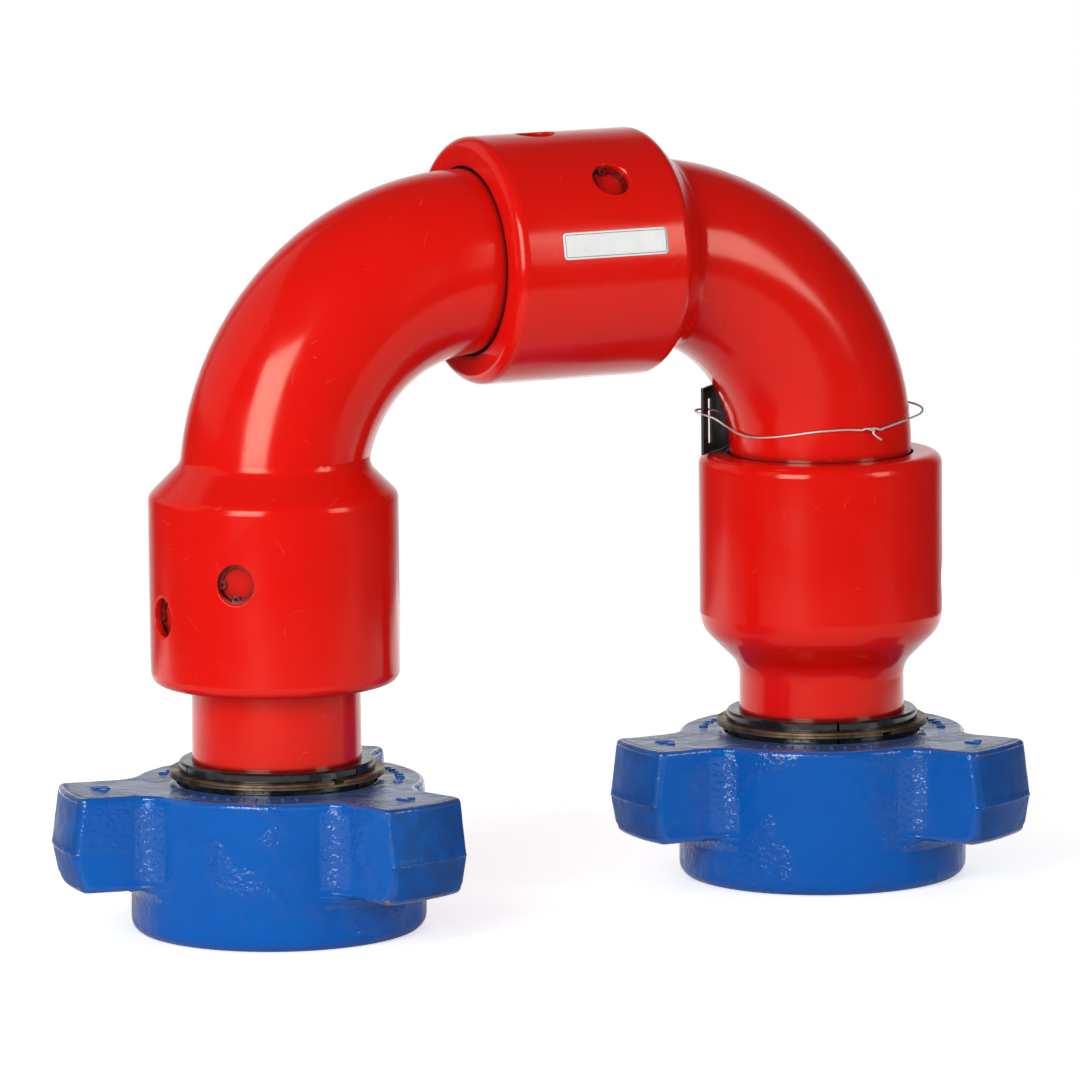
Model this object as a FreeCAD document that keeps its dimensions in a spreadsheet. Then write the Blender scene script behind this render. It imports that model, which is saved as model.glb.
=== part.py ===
import FreeCAD, Part
import math
import os

import Sketcher

# Long sweep swivel joint, 3 inch: two sweep elbows on three ball swivels between two wing unions.
# The frame's origin is the centre of the inlet end face, which stands on the floor.
# +Z runs up the inlet leg, and +X points from the inlet leg to the outlet leg.

# Driving sizes in millimetres and degrees, one spreadsheet row each.
SIZES = [
    ("axis_height", 368.5, "top swivel axis above the floor"),
    ("bore_diameter", 69.85, "flow bore, 2.75 inch"),
    ("bend_radius", 120.7, "centre line radius of both elbows"),
    ("tube_diameter", 104.6, "outside of the elbows and of all male swivel ends"),
    ("left_straight", 2.3, "left elbow: straight run from its bend to its collar's shoulder"),
    ("left_outlet", 0.3, "left elbow: straight run from its bend to the top collar's face"),
    ("right_cover", 1.7, "right elbow: how far its collar covers the end of its bend"),
    ("right_outlet", 2.8, "right elbow: straight run from its bend to the right collar's rim"),
    ("collar_diameter", 139.7, "outside of the swivel collars, 5.5 inch"),
    ("collar_length", 106.0, "collar of an elbow, face to shoulder"),
    ("body_collar_length", 100.0, "collar of the right body, rim to cone"),
    ("rim_round", 6.5, "round on a collar's outer rim"),
    ("shoulder_round", 7.0, "round between a collar and its shoulder"),
    ("neck_round", 9.0, "round between a shoulder and the bend"),
    ("cone_round", 20.0, "round between the right body's collar and its cone"),
    ("stem_round", 16.0, "round between the right body's cone and its stem"),
    ("stem_diameter", 95.0, "outside of the union ends"),
    ("male_chamfer", 2.5, "chamfer on the male swivel end"),
    ("lip_gap", 1.3, "radial gap between male end and collar"),
    ("ball_diameter", 15.875, "swivel balls, 5/8 inch"),
    ("ball_gap", 0.35, "gap between ball and race"),
    ("ball_count", 20, "balls in one row"),
    ("race_pitch", 23.0, "spacing of the ball races"),
    ("left_lip", 18.5, "left collar: face to the first race"),
    ("top_lip", 20.5, "top collar: face to the first race"),
    ("right_lip", 28.0, "right collar: rim to the first race"),
    ("race_to_nose", 13.5, "last race to the end of the male part"),
    ("seal_gap", 0.3, "gap between a seal and the part that turns in it"),
    ("packing_diameter", 96.0, "outside of the pressure packing"),
    ("packing_height", 11.5, "depth of the packing's seat"),
    ("backup_width", 4.0, "width of the brass ring in the packing"),
    ("backup_height", 3.0, "height of the brass ring in the packing"),
    ("mouth_seal_depth", 4.9, "collar face to the middle of the mouth seal"),
    ("mouth_seal_section", 3.5, "section of the mouth seal"),
    ("mouth_groove_extra", 0.8, "groove width beyond the mouth seal"),
    ("port_diameter", 21.5, "ball filling port"),
    ("port_chamfer", 0.6, "chamfer at a port's mouth"),
    ("port_angle", -133.0, "first port of an elbow collar, about the swivel axis"),
    ("body_port_angle", 28.4, "first port of the right body, about the swivel axis"),
    ("port_step_angle", -46.0, "turn from one port to the next"),
    ("plug_recess", 6.5, "collar surface to the plug's top"),
    ("plug_gap", 0.1, "radial gap round a plug"),
    ("snap_thickness", 1.3, "snap ring"),
    ("snap_depth", 0.8, "groove of the snap ring in the port's wall"),
    ("snap_width", 2.6, "band width of the snap ring"),
    ("snap_opening", 5.6, "half width of the snap ring's gap"),
    ("snap_turn_angle", -45.0, "turn of the gap from the swivel axis"),
    ("snap_lug", 2.4, "radius of a snap ring's lug"),
    ("snap_hole", 0.9, "radius of the hole in a lug"),
    ("grease_angle", 90.0, "grease fitting of an elbow collar"),
    ("body_grease_angle", -130.0, "grease fitting of the right body"),
    ("grease_recess_diameter", 15.0, "recess round the grease fitting"),
    ("grease_recess_depth", 7.0, "depth of that recess"),
    ("grease_hole_diameter", 6.4, "hole of the grease fitting"),
    ("grease_hex", 4.6, "half width of the fitting's hexagon over its corners"),
    ("grease_hex_height", 2.6, "height of the hexagon"),
    ("nose_face_radius", 41.5, "flat end of a union nose"),
    ("nose_radius", 54.5, "collar of a union nose"),
    ("nose_curve_height", 12.0, "height of the round seat on a nose"),
    ("nose_sphere", 71.3, "radius of the round seat"),
    ("nose_height", 22.0, "end face to the back shoulder of the nose"),
    ("seat_gap", 0.35, "gap between nose shoulder and segments"),
    ("segment_gap", 0.3, "gap between stem and segments"),
    ("segment_diameter", 110.0, "sleeve of the retainer segments"),
    ("segment_top", 96.0, "top of the segments above the end face"),
    ("flange_clearance", 1.5, "radial gap between the segments' flange and the nut's thread"),
    ("segment_flange_top", 48.0, "top of the flange's cone"),
    ("segment_chamfer", 1.2, "chamfer on the segments"),
    ("segment_split_angle", 1.5, "angle of the gap between segments"),
    ("left_split_angle", -60.0, "first split of the left segments"),
    ("right_split_angle", -107.6, "first split of the right segments"),
    ("ring_bottom", 87.3, "underside of the retaining ring"),
    ("ring_turn", 1.75, "thickness of one turn of the ring"),
    ("ring_diameter", 120.8, "outside of the retaining ring"),
    ("ring_seat", 105.0, "bottom of the ring's groove"),
    ("ring_play", 0.2, "gap round the ring in its groove"),
    ("ring_edge", 0.4, "chamfer on the ring's turns"),
    ("ring_step_angle", 6.0, "angle of the step between the ring's turns"),
    ("left_ring_end_angle", -77.0, "end of the left ring's upper turn"),
    ("right_ring_end_angle", 100.0, "end of the right ring's upper turn"),
    ("nut_diameter", 166.0, "body of the wing nut"),
    ("nut_height", 84.0, "height of the wing nut"),
    ("nut_bore", 112.0, "bore above the nut's shoulder"),
    ("nut_bore_chamfer", 1.0, "chamfer at the top of that bore"),
    ("nut_shoulder", 58.0, "top of the nut's inner shoulder"),
    ("nut_thread", 127.0, "inside of the nut's thread, cut to 5.25 inch"),
    ("nut_relief_depth", 4.0, "radial depth of the relief above the thread"),
    ("nut_relief_height", 4.5, "wall of that relief, from its lower cone to the shoulder's"),
    ("nut_lead", 3.0, "lead-in chamfer of the thread"),
    ("nut_round", 7.5, "round on the nut's lower edge"),
    ("nut_top_round", 2.5, "round on the nut's upper edges"),
    ("wing_reach", 127.3, "nut axis to a wing's end"),
    ("wing_width", 58.4, "width of a wing at its parting line"),
    ("wing_bottom", 29.5, "underside of the wings"),
    ("wing_parting", 52.0, "parting line of the wings"),
    ("wing_corner", 6.0, "round on a wing's upright edges"),
    ("wing_root", 18.0, "round between wing and nut"),
    ("wing_draft", 4.3, "forging draft of a wing's end, from its parting line"),
    ("wing_count", 3, "wings of a nut"),
    ("left_nut_angle", 48.6, "first wing of the left nut"),
    ("right_nut_angle", 60.0, "first wing of the right nut"),
    ("label_start", 27.5, "top collar's face to the label"),
    ("label_length", 65.0, "label, along the collar"),
    ("label_angle", -107.0, "lower edge of the label about the swivel axis"),
    ("label_sweep_angle", 12.3, "label, round the collar"),
    ("label_thickness", 0.2, "label"),
    ("tag_angle", 133.6, "direction of the tag from the outlet leg"),
    ("tag_standoff", 6.0, "tube to the tag's inner face, at the tube's straight end"),
    ("tag_length", 60.0, "tag, along the rim"),
    ("tag_shift", 6.0, "middle of the tag from its direction"),
    ("tag_height", 38.5, "height of the tag"),
    ("tag_thickness", 1.5, "thickness of the tag"),
    ("tag_clearance", 0.3, "gap between tag and rim"),
    ("slot_margin", 8.5, "tag's edge to its slot"),
    ("slot_width", 6.5, "width of the slot"),
    ("slot_bottom", 5.5, "tag's lower edge to the slot"),
    ("slot_height", 26.0, "height of the slot"),
    ("wire_diameter", 1.2, "tie wire"),
    ("wire_height", 18.0, "tie wire above the right collar's rim"),
    ("wire_gap", 0.3, "gap between wire and what it touches"),
    ("wire_bend", 3.0, "bend radius of the wire at the tag"),
    ("wire_tail", 9.0, "twisted end of the wire"),
]

XZ, XY, YZ = "XZ_Plane", "XY_Plane", "YZ_Plane"
UP = FreeCAD.Vector(0, 0, 1)
EAST = FreeCAD.Vector(1, 0, 0)
NORTH = FreeCAD.Vector(0, 1, 0)

doc = FreeCAD.newDocument("LongSweepSwivelJoint")
sheet = doc.addObject("Spreadsheet::Sheet", "Sizes")
nodes = []


class Size:
    """A length or angle that carries its value and the spreadsheet expression that drives it."""

    def __init__(self, value, text):
        self.value = float(value)
        self.text = text

    @staticmethod
    def of(other):
        return other if isinstance(other, Size) else Size(other, repr(float(other)))

    def __add__(self, other):
        other = Size.of(other)
        return Size(self.value + other.value, "(%s + %s)" % (self.text, other.text))

    def __sub__(self, other):
        other = Size.of(other)
        return Size(self.value - other.value, "(%s - %s)" % (self.text, other.text))

    def __mul__(self, other):
        other = Size.of(other)
        return Size(self.value * other.value, "(%s * %s)" % (self.text, other.text))

    def __truediv__(self, other):
        other = Size.of(other)
        return Size(self.value / other.value, "(%s / %s)" % (self.text, other.text))

    def __neg__(self):
        return Size(-self.value, "(0 - %s)" % self.text)

    def root(self):
        return Size(math.sqrt(self.value), "sqrt(%s)" % self.text)


def fill_sheet():
    for row, (alias, value, note) in enumerate(SIZES, start=1):
        sheet.set("A%d" % row, note)
        sheet.set("B%d" % row, str(value))
        sheet.setAlias("B%d" % row, alias)
    doc.recompute()


def size(alias):
    return Size(sheet.get(alias), "Sizes.%s" % alias)


def bind(target, path, length):
    target.setExpression(path, length.text)


def new_body(name):
    body = doc.addObject("PartDesign::Body", name)
    body.Label = name
    return body


def origin_plane(body, role):
    return [feature for feature in body.Origin.OriginFeatures if feature.Role == role][0]


def new_sketch(body, name, role, lift=None, turn=None):
    """A sketch on an origin plane, lifted along the plane's normal and turned about it."""
    sketch = body.newObject("Sketcher::SketchObject", name)
    sketch.AttachmentSupport = (origin_plane(body, role), [""])
    sketch.MapMode = "FlatFace"
    sketch.AttachmentOffset = FreeCAD.Placement(FreeCAD.Vector(), FreeCAD.Rotation(UP, 0.0))
    if lift is not None:
        bind(sketch, "AttachmentOffset.Base.z", lift)
    if turn is not None:
        bind(sketch, "AttachmentOffset.Rotation.Angle", turn)
    return sketch


def pin_point(sketch, geometry, point, x, y):
    """Fix one point of a sketch at coordinates that follow the spreadsheet."""
    for kind, length, axis in (("DistanceX", x, -2), ("DistanceY", y, -1)):
        length = Size.of(length)
        if length.value == 0.0:
            sketch.addConstraint(Sketcher.Constraint("PointOnObject", geometry, point, axis))
            continue
        number = sketch.addConstraint(
            Sketcher.Constraint(kind, -1, 1, geometry, point, length.value))
        bind(sketch, "Constraints[%d]" % number, length)


def arc_between(start, end, radius):
    """Arc from start to end; a positive radius bulges to the right of the way from start to end."""
    chord = end - start
    middle = (start + end) * 0.5
    left = FreeCAD.Vector(-chord.y, chord.x, 0).normalize()
    rise = math.sqrt(max(radius * radius - chord.Length ** 2 / 4, 0.0))
    crest = middle - left * math.copysign(abs(radius) - rise, radius)
    return Part.Arc(start, crest, end)


def draw_outline(sketch, corners):
    """Closed outline; a corner is (x, y), or (x, y, radius) where an arc leads to the next one."""
    points = [FreeCAD.Vector(Size.of(c[0]).value, Size.of(c[1]).value, 0) for c in corners]
    starts, ends = [], []
    for index, corner in enumerate(corners):
        start, end = points[index], points[(index + 1) % len(points)]
        if len(corner) == 3:
            radius = Size.of(corner[2])
            geometry = sketch.addGeometry(arc_between(start, end, radius.value))
            number = sketch.addConstraint(
                Sketcher.Constraint("Radius", geometry, abs(radius.value)))
            bind(sketch, "Constraints[%d]" % number, radius if radius.value > 0 else -radius)
            forward = radius.value > 0
            starts.append((geometry, 1 if forward else 2))
            ends.append((geometry, 2 if forward else 1))
        else:
            geometry = sketch.addGeometry(Part.LineSegment(start, end))
            starts.append((geometry, 1))
            ends.append((geometry, 2))
    for index, corner in enumerate(corners):
        following = starts[(index + 1) % len(corners)]
        sketch.addConstraint(Sketcher.Constraint("Coincident", *ends[index], *following))
        pin_point(sketch, *starts[index], corner[0], corner[1])


def draw_circle(sketch, x, y, radius):
    centre = FreeCAD.Vector(Size.of(x).value, Size.of(y).value, 0)
    geometry = sketch.addGeometry(Part.Circle(centre, UP, radius.value))
    number = sketch.addConstraint(Sketcher.Constraint("Radius", geometry, radius.value))
    bind(sketch, "Constraints[%d]" % number, radius)
    pin_point(sketch, geometry, 3, x, y)


def spin(body, kind, name, sketch, axis, angle=None, centred=False):
    """Revolution or Groove of a sketch about one of its own axes or edges."""
    feature = body.newObject("PartDesign::" + kind, name)
    feature.Profile = sketch
    feature.ReferenceAxis = (sketch, [axis])
    feature.Angle = 360.0
    feature.Midplane = centred
    if angle is not None:
        bind(feature, "Angle", angle)
    sketch.Visibility = False
    doc.recompute()
    return feature


def revolve(body, name, corners, kind="Revolution", role=XZ, axis="V_Axis", angle=None,
            centred=False):
    sketch = new_sketch(body, name + "_outline", role)
    draw_outline(sketch, corners)
    return spin(body, kind, name, sketch, axis, angle, centred)


def pad(body, name, sketch, length, kind="Pad", reverse=False):
    feature = body.newObject("PartDesign::" + kind, name)
    feature.Profile = sketch
    feature.Length = length.value
    bind(feature, "Length", length)
    feature.Reversed = reverse
    doc.recompute()
    return feature


def named_edges(shape, wanted):
    return ["Edge%d" % number for number, edge in enumerate(shape.Edges, start=1) if wanted(edge)]


def fillet(body, name, edges, radius):
    base = body.Tip
    feature = body.newObject("PartDesign::Fillet", name)
    feature.Base = (base, edges)
    feature.Radius = radius.value
    bind(feature, "Radius", radius)
    doc.recompute()
    return feature


def add_node(name, thing, place=None):
    """Name a sub-part, place it and list it for the export."""
    thing.Label = name
    if place is not None:
        thing.Placement = place
    nodes.append((name, thing))


def group(name, members):
    compound = doc.addObject("Part::Compound", name)
    compound.Links = members
    doc.recompute()
    add_node(name, compound)


fill_sheet()
BORE = size("bore_diameter") / 2
TUBE = size("tube_diameter") / 2
COLLAR = size("collar_diameter") / 2
STEM = size("stem_diameter") / 2
LIP = TUBE + size("lip_gap")
BALL = size("ball_diameter") / 2
RACE = (TUBE + LIP) / 2
GROOVE = BALL + size("ball_gap")
PACKING = size("packing_diameter") / 2
PORT = size("port_diameter") / 2
NOSE = size("nose_radius")
PLUG_TOP = COLLAR - size("plug_recess")

AXIS = size("axis_height")
LEFT_NECK = size("bend_radius") + size("left_straight")
LEFT_REACH = size("bend_radius") + size("left_outlet")
RIGHT_NECK = size("bend_radius") - size("right_cover")
RIGHT_REACH = size("bend_radius") + size("right_outlet")
LEFT_FACE = AXIS - LEFT_NECK - size("collar_length")
RIGHT_RIM = AXIS - RIGHT_REACH
LEG_SPACING = LEFT_REACH + size("collar_length") + RIGHT_NECK


def race_depth(lip, number):
    return lip + size("race_pitch") * number


def male_depth(lip):
    """Depth of a male end's nose below the collar's face."""
    return race_depth(lip, 2) + size("race_to_nose")


def packing_depth(lip):
    return male_depth(lip) + size("seal_gap")


def cavity_depth(lip):
    return packing_depth(lip) + size("packing_height")


def cavity(face, lip, inward):
    """Inside of a collar from its face to the flow bore; inward is +1 or -1 along the axis."""
    seal = size("mouth_seal_section") / 2
    reach = (size("mouth_seal_section") + size("mouth_groove_extra")) / 2
    groove = TUBE + size("seal_gap") + seal * 2
    seal_depth = size("mouth_seal_depth")
    steps = [(LIP, Size(0, "0")), (LIP, seal_depth - reach), (groove, seal_depth - reach),
             (groove, seal_depth + reach), (LIP, seal_depth + reach), (LIP, packing_depth(lip)),
             (PACKING, packing_depth(lip)), (PACKING, cavity_depth(lip)), (BORE, cavity_depth(lip))]
    return [(radius, face + depth * inward) for radius, depth in steps]


def cut_races(body, name, role, axis, along, lip, face, inward):
    """Three round grooves; along tells whether the swivel axis is the sketch's x or y."""
    sketch = new_sketch(body, name + "_sections", role)
    for number in range(3):
        place = face + race_depth(lip, number) * inward
        x, y = (place, RACE) if along == "x" else (RACE, place)
        draw_circle(sketch, x, y, GROOVE)
    return spin(body, "Groove", name, sketch, axis)


def cut_radial(body, name, height, angle, corners):
    """Cut a round recess whose axis points out of the collar at one height and angle."""
    sketch = new_sketch(body, name + "_outline", XY, lift=height, turn=angle)
    draw_outline(sketch, corners)
    return spin(body, "Groove", name, sketch, "H_Axis")


def port_outline():
    """Section of a ball port: filling hole, snap ring groove and chamfered mouth."""
    seat = PORT + size("snap_depth")
    ring_top = PLUG_TOP + size("snap_thickness") + size("plug_gap")
    chamfer = size("port_chamfer")
    beyond = COLLAR + chamfer
    return [(RACE, 0), (RACE, PORT), (PLUG_TOP, PORT), (PLUG_TOP, seat), (ring_top, seat),
            (ring_top, PORT), (COLLAR - chamfer * 2, PORT), (beyond, PORT + chamfer * 3),
            (beyond, 0)]


def grease_outline():
    recess = size("grease_recess_diameter") / 2
    hole = size("grease_hole_diameter") / 2
    floor = COLLAR - size("grease_recess_depth")
    beyond = COLLAR + size("port_chamfer")
    return [(RACE, 0), (RACE, hole), (floor, hole), (floor, recess), (beyond, recess), (beyond, 0)]


def grease_depth(lip):
    return race_depth(lip, 1) + size("race_pitch") / 2


def cut_ports(body, face, lip, inward, first, grease, turn_sense):
    """Three staggered ball ports and the grease fitting's recess in a collar."""
    for number in range(3):
        deepest_first = 2 - number
        height = face + race_depth(lip, deepest_first) * inward
        angle = (size(first) + size("port_step_angle") * number) * turn_sense
        cut_radial(body, "port_%d" % (number + 1), height, angle, port_outline())
    height = face + grease_depth(lip) * inward
    cut_radial(body, "grease_port", height, size(grease) * turn_sense, grease_outline())


def nose_outline():
    """Union nose and stem shoulder, from the flow bore outward and up."""
    return [(BORE, 0), (size("nose_face_radius"), 0, size("nose_sphere")),
            (NOSE, size("nose_curve_height")), (NOSE, size("nose_height")),
            (STEM, size("nose_height") + NOSE - STEM)]


def make_left_stem():
    body = new_body("left_stem")
    top = LEFT_FACE + male_depth(size("left_lip"))
    chamfer = size("male_chamfer")
    revolve(body, "stem", nose_outline() + [
        (STEM, LEFT_FACE), (TUBE, LEFT_FACE + TUBE - STEM), (TUBE, top - chamfer),
        (TUBE - chamfer, top), (BORE, top)])
    cut_races(body, "races", XZ, "V_Axis", "y", size("left_lip"), LEFT_FACE, 1)
    add_node("left_stem", body)


def round_at_half_square(radius):
    """Corner to the start of a round between an upright wall and a 45 degree cone: along the
    wall, and along each axis of the cone."""
    start = radius * math.tan(math.pi / 8)
    return start, start * math.sqrt(0.5)


def make_right_body():
    body = new_body("right_body")
    cone_top = RIGHT_RIM - size("body_collar_length")
    rim = size("rim_round")
    inside = cavity(RIGHT_RIM, size("right_lip"), -1)
    cone_bottom = cone_top - COLLAR + STEM
    start, leave = round_at_half_square(size("stem_round"))
    stem_side = [(STEM, cone_bottom - start, -size("stem_round")), (STEM + leave, cone_bottom + leave)]
    start, leave = round_at_half_square(size("cone_round"))
    collar_side = [(COLLAR - leave, cone_top - leave, size("cone_round")), (COLLAR, cone_top + start)]
    revolve(body, "forging", nose_outline() + stem_side + collar_side + [
        (COLLAR, RIGHT_RIM - rim, rim), (COLLAR - rim, RIGHT_RIM)] + inside)
    cut_races(body, "races", XZ, "V_Axis", "y", size("right_lip"), RIGHT_RIM, -1)
    cut_ports(body, RIGHT_RIM, size("right_lip"), -1, "body_port_angle", "body_grease_angle", -1)
    place = FreeCAD.Placement(FreeCAD.Vector(LEG_SPACING.value, 0, 0), FreeCAD.Rotation())
    add_node("right_body", body, place)


def neck_edges(shape, shoulder):
    """Edges where the bend comes out of its collar's shoulder."""
    low = shoulder.value + (COLLAR - TUBE).value / 2
    high = shoulder.value + 2 * (COLLAR - TUBE).value

    def is_neck(edge):
        box = edge.BoundBox
        return box.XLength > TUBE.value and box.ZMin > low and box.ZMax < high
    return named_edges(shape, is_neck)


def make_elbow(name, neck, reach, collar_lip, male_lip, place):
    """Sweep elbow about the corner of its axes: collar down -Z, male swivel end out along +X."""
    body = new_body(name)
    bend = size("bend_radius")
    shoulder = -neck
    face = shoulder - size("collar_length")
    rim = size("rim_round")
    inside_tube = TUBE - size("rim_round")
    start, leave = round_at_half_square(size("shoulder_round"))
    revolve(body, "collar", [
        (0, face), (COLLAR - rim, face, rim), (COLLAR, face + rim),
        (COLLAR, shoulder - start, size("shoulder_round")), (COLLAR - leave, shoulder + leave),
        (inside_tube, shoulder + COLLAR - inside_tube), (0, shoulder + COLLAR - inside_tube)])

    section = new_sketch(body, "bend_section", XY, lift=-bend)
    draw_circle(section, 0, 0, TUBE)
    add_bend(body, "Revolution", "bend", section)
    fillet(body, "neck_round", neck_edges(body.Shape, shoulder), size("neck_round"))

    tip = reach + male_depth(size(male_lip))
    chamfer = size("male_chamfer")
    revolve(body, "male_end", [
        (bend, 0), (bend, TUBE), (tip - chamfer, TUBE), (tip, TUBE - chamfer), (tip, 0)],
        axis="H_Axis")

    inside = cavity(face, size(collar_lip), 1)
    revolve(body, "collar_cavity", [(0, face)] + inside + [(BORE, -bend), (0, -bend)], "Groove")
    hollow = new_sketch(body, "bore_section", XY, lift=-bend)
    draw_circle(hollow, 0, 0, BORE)
    add_bend(body, "Groove", "bend_bore", hollow)
    revolve(body, "male_bore", [(bend, 0), (bend, BORE), (tip, BORE), (tip, 0)], "Groove",
            axis="H_Axis")
    cut_races(body, "collar_races", XZ, "V_Axis", "y", size(collar_lip), face, 1)
    cut_races(body, "male_races", XZ, "H_Axis", "x", size(male_lip), reach, 1)
    cut_ports(body, face, size(collar_lip), 1, "port_angle", "grease_angle", 1)
    add_node(name, body, place)


def add_bend(body, kind, name, section):
    """Sweep a round section through the quarter bend, about an axis beside the elbow."""
    bend = size("bend_radius")
    centre = FreeCAD.Vector(bend.value, 0, 0)
    axis = section.addGeometry(
        Part.LineSegment(centre, centre + FreeCAD.Vector(0, TUBE.value, 0)), True)
    pin_point(section, axis, 1, bend, 0)
    pin_point(section, axis, 2, bend, TUBE)
    doc.recompute()
    feature = body.newObject("PartDesign::" + kind, name)
    feature.Profile = section
    feature.ReferenceAxis = (section, ["Axis0"])
    feature.Angle = 90.0
    doc.recompute()
    return feature


def swivel_place(side):
    """Frame of a swivel: origin at the collar's face, +Z into the collar."""
    if side == "left":
        return FreeCAD.Placement(FreeCAD.Vector(0, 0, LEFT_FACE.value), FreeCAD.Rotation())
    if side == "top":
        spot = FreeCAD.Vector(LEFT_REACH.value, 0, AXIS.value)
        return FreeCAD.Placement(spot, FreeCAD.Rotation(NORTH, 90))
    spot = FreeCAD.Vector(LEG_SPACING.value, 0, RIGHT_RIM.value)
    return FreeCAD.Placement(spot, FreeCAD.Rotation(EAST, 180))


def polar(body, name, features, count):
    pattern = body.newObject("PartDesign::PolarPattern", name)
    pattern.Originals = features
    pattern.Axis = (origin_plane(body, "Z_Axis"), [""])
    pattern.Angle = 360
    pattern.Occurrences = int(count.value)
    bind(pattern, "Occurrences", count)
    body.Tip = pattern
    doc.recompute()
    return pattern


def make_ball_row(name, depth, place):
    body = new_body(name)
    sketch = new_sketch(body, "half_ball", XZ)
    centre = FreeCAD.Vector(RACE.value, depth.value, 0)
    pole = FreeCAD.Vector(0, BALL.value, 0)
    half_circle = Part.ArcOfCircle(
        Part.Circle(centre, UP, BALL.value), -math.pi / 2, math.pi / 2)
    arc = sketch.addGeometry(half_circle)
    diameter = sketch.addGeometry(Part.LineSegment(centre - pole, centre + pole))
    sketch.addConstraint(Sketcher.Constraint("Coincident", arc, 1, diameter, 1))
    sketch.addConstraint(Sketcher.Constraint("Coincident", arc, 2, diameter, 2))
    sketch.addConstraint(Sketcher.Constraint("Vertical", diameter))
    sketch.addConstraint(Sketcher.Constraint("PointOnObject", arc, 3, diameter))
    number = sketch.addConstraint(Sketcher.Constraint("Radius", arc, BALL.value))
    bind(sketch, "Constraints[%d]" % number, BALL)
    pin_point(sketch, arc, 3, RACE, depth)
    ball = spin(body, "Revolution", "ball", sketch, "Edge%d" % (diameter + 1))
    polar(body, "row", [ball], size("ball_count"))
    add_node(name, body, place)


def port_places(side, first, lip):
    """Frames of a collar's three ports: origin on the swivel axis, +X out through the port."""
    for number in range(3):
        depth = race_depth(size(lip), 2 - number).value
        angle = (size(first) + size("port_step_angle") * number).value
        yield swivel_place(side) * FreeCAD.Placement(
            FreeCAD.Vector(0, 0, depth), FreeCAD.Rotation(UP, angle))


def make_plug(name):
    """Plug of one ball port, hollowed at its inner end to carry on the race."""
    body = new_body(name)
    radius = PORT - size("plug_gap")
    top = PLUG_TOP - size("plug_gap")
    chamfer = size("port_chamfer")
    revolve(body, "plug", [(RACE, 0), (RACE, radius), (top - chamfer, radius),
                           (top, radius - chamfer), (top, 0)], role=XY, axis="H_Axis")
    revolve(body, "bore_clearance", [(0, -PORT), (LIP, -PORT), (LIP, PORT), (0, PORT)], "Groove")
    race = new_sketch(body, "race_section", XZ)
    draw_circle(race, RACE, 0, GROOVE)
    spin(body, "Groove", "race", race, "V_Axis")
    return body


def make_snap_ring(name):
    """Open snap ring above a plug, with a drilled lug at each end."""
    body = new_body(name)
    outer = PORT + size("snap_depth") - size("plug_gap")
    inner = outer - size("snap_width")
    opening = size("snap_opening")
    lug = size("snap_lug")
    outer_end = -(outer * outer - opening * opening).root()
    inner_end = -(inner * inner - opening * opening).root()
    band = new_sketch(body, "band_outline", YZ, lift=PLUG_TOP, turn=size("snap_turn_angle"))
    draw_outline(band, [
        (opening, outer_end, outer), (outer, 0, outer), (0, outer, outer), (-outer, 0, outer),
        (-opening, outer_end), (-opening, inner_end, -inner), (-inner, 0, -inner),
        (0, inner, -inner), (inner, 0, -inner), (opening, inner_end)])
    pad(body, "band", band, size("snap_thickness"))
    lug_height = -((outer - lug) * (outer - lug) - opening * opening).root()
    lugs = new_sketch(body, "lug_outline", YZ, lift=PLUG_TOP, turn=size("snap_turn_angle"))
    holes = new_sketch(body, "hole_outline", YZ, lift=PLUG_TOP, turn=size("snap_turn_angle"))
    for x in (-opening, opening):
        draw_circle(lugs, x, lug_height, lug)
        draw_circle(holes, x, lug_height, size("snap_hole"))
    pad(body, "lugs", lugs, size("snap_thickness"))
    pad(body, "holes", holes, size("snap_thickness"), kind="Pocket", reverse=True)
    return body


def make_ports(side, first, lip):
    """Plugs and snap rings of one collar, each kind as one group."""
    for kind, maker in (("ball_plug", make_plug), ("snap_ring", make_snap_ring)):
        members = []
        for number, place in enumerate(port_places(side, first, lip), start=1):
            member = maker("%s_%s_%d" % (side, kind, number))
            member.Placement = place
            members.append(member)
        group("%s_%ss" % (side, kind), members)


def make_grease_fitting(side, angle, lip):
    """Lubricator in its recess: shank, hexagon and nipple."""
    body = new_body("%s_grease_fitting" % side)
    floor = COLLAR - size("grease_recess_depth")
    shank = size("grease_hole_diameter") / 2 - size("plug_gap")
    top = size("grease_recess_depth")
    neck = shank * 0.7
    revolve(body, "fitting", [
        (LIP + size("lip_gap"), 0), (LIP + size("lip_gap"), shank), (floor + top * 0.5, shank),
        (floor + top * 0.6, neck), (floor + top * 0.7, neck), (floor + top * 0.8, shank),
        (floor + top * 0.9, shank), (floor + top, neck), (floor + top, 0)],
        role=XY, axis="H_Axis")
    sketch = new_sketch(body, "hexagon", YZ, lift=floor)
    corner = size("grease_hex")
    flat = corner * 3 / (Size(12, "12").root())
    draw_outline(sketch, [(corner, 0), (corner / 2, flat), (-corner / 2, flat), (-corner, 0),
                          (-corner / 2, -flat), (corner / 2, -flat)])
    pad(body, "hex", sketch, size("grease_hex_height"))
    place = FreeCAD.Placement(FreeCAD.Vector(0, 0, grease_depth(size(lip)).value),
                              FreeCAD.Rotation(UP, size(angle).value))
    add_node("%s_grease_fitting" % side, body, swivel_place(side) * place)


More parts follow.
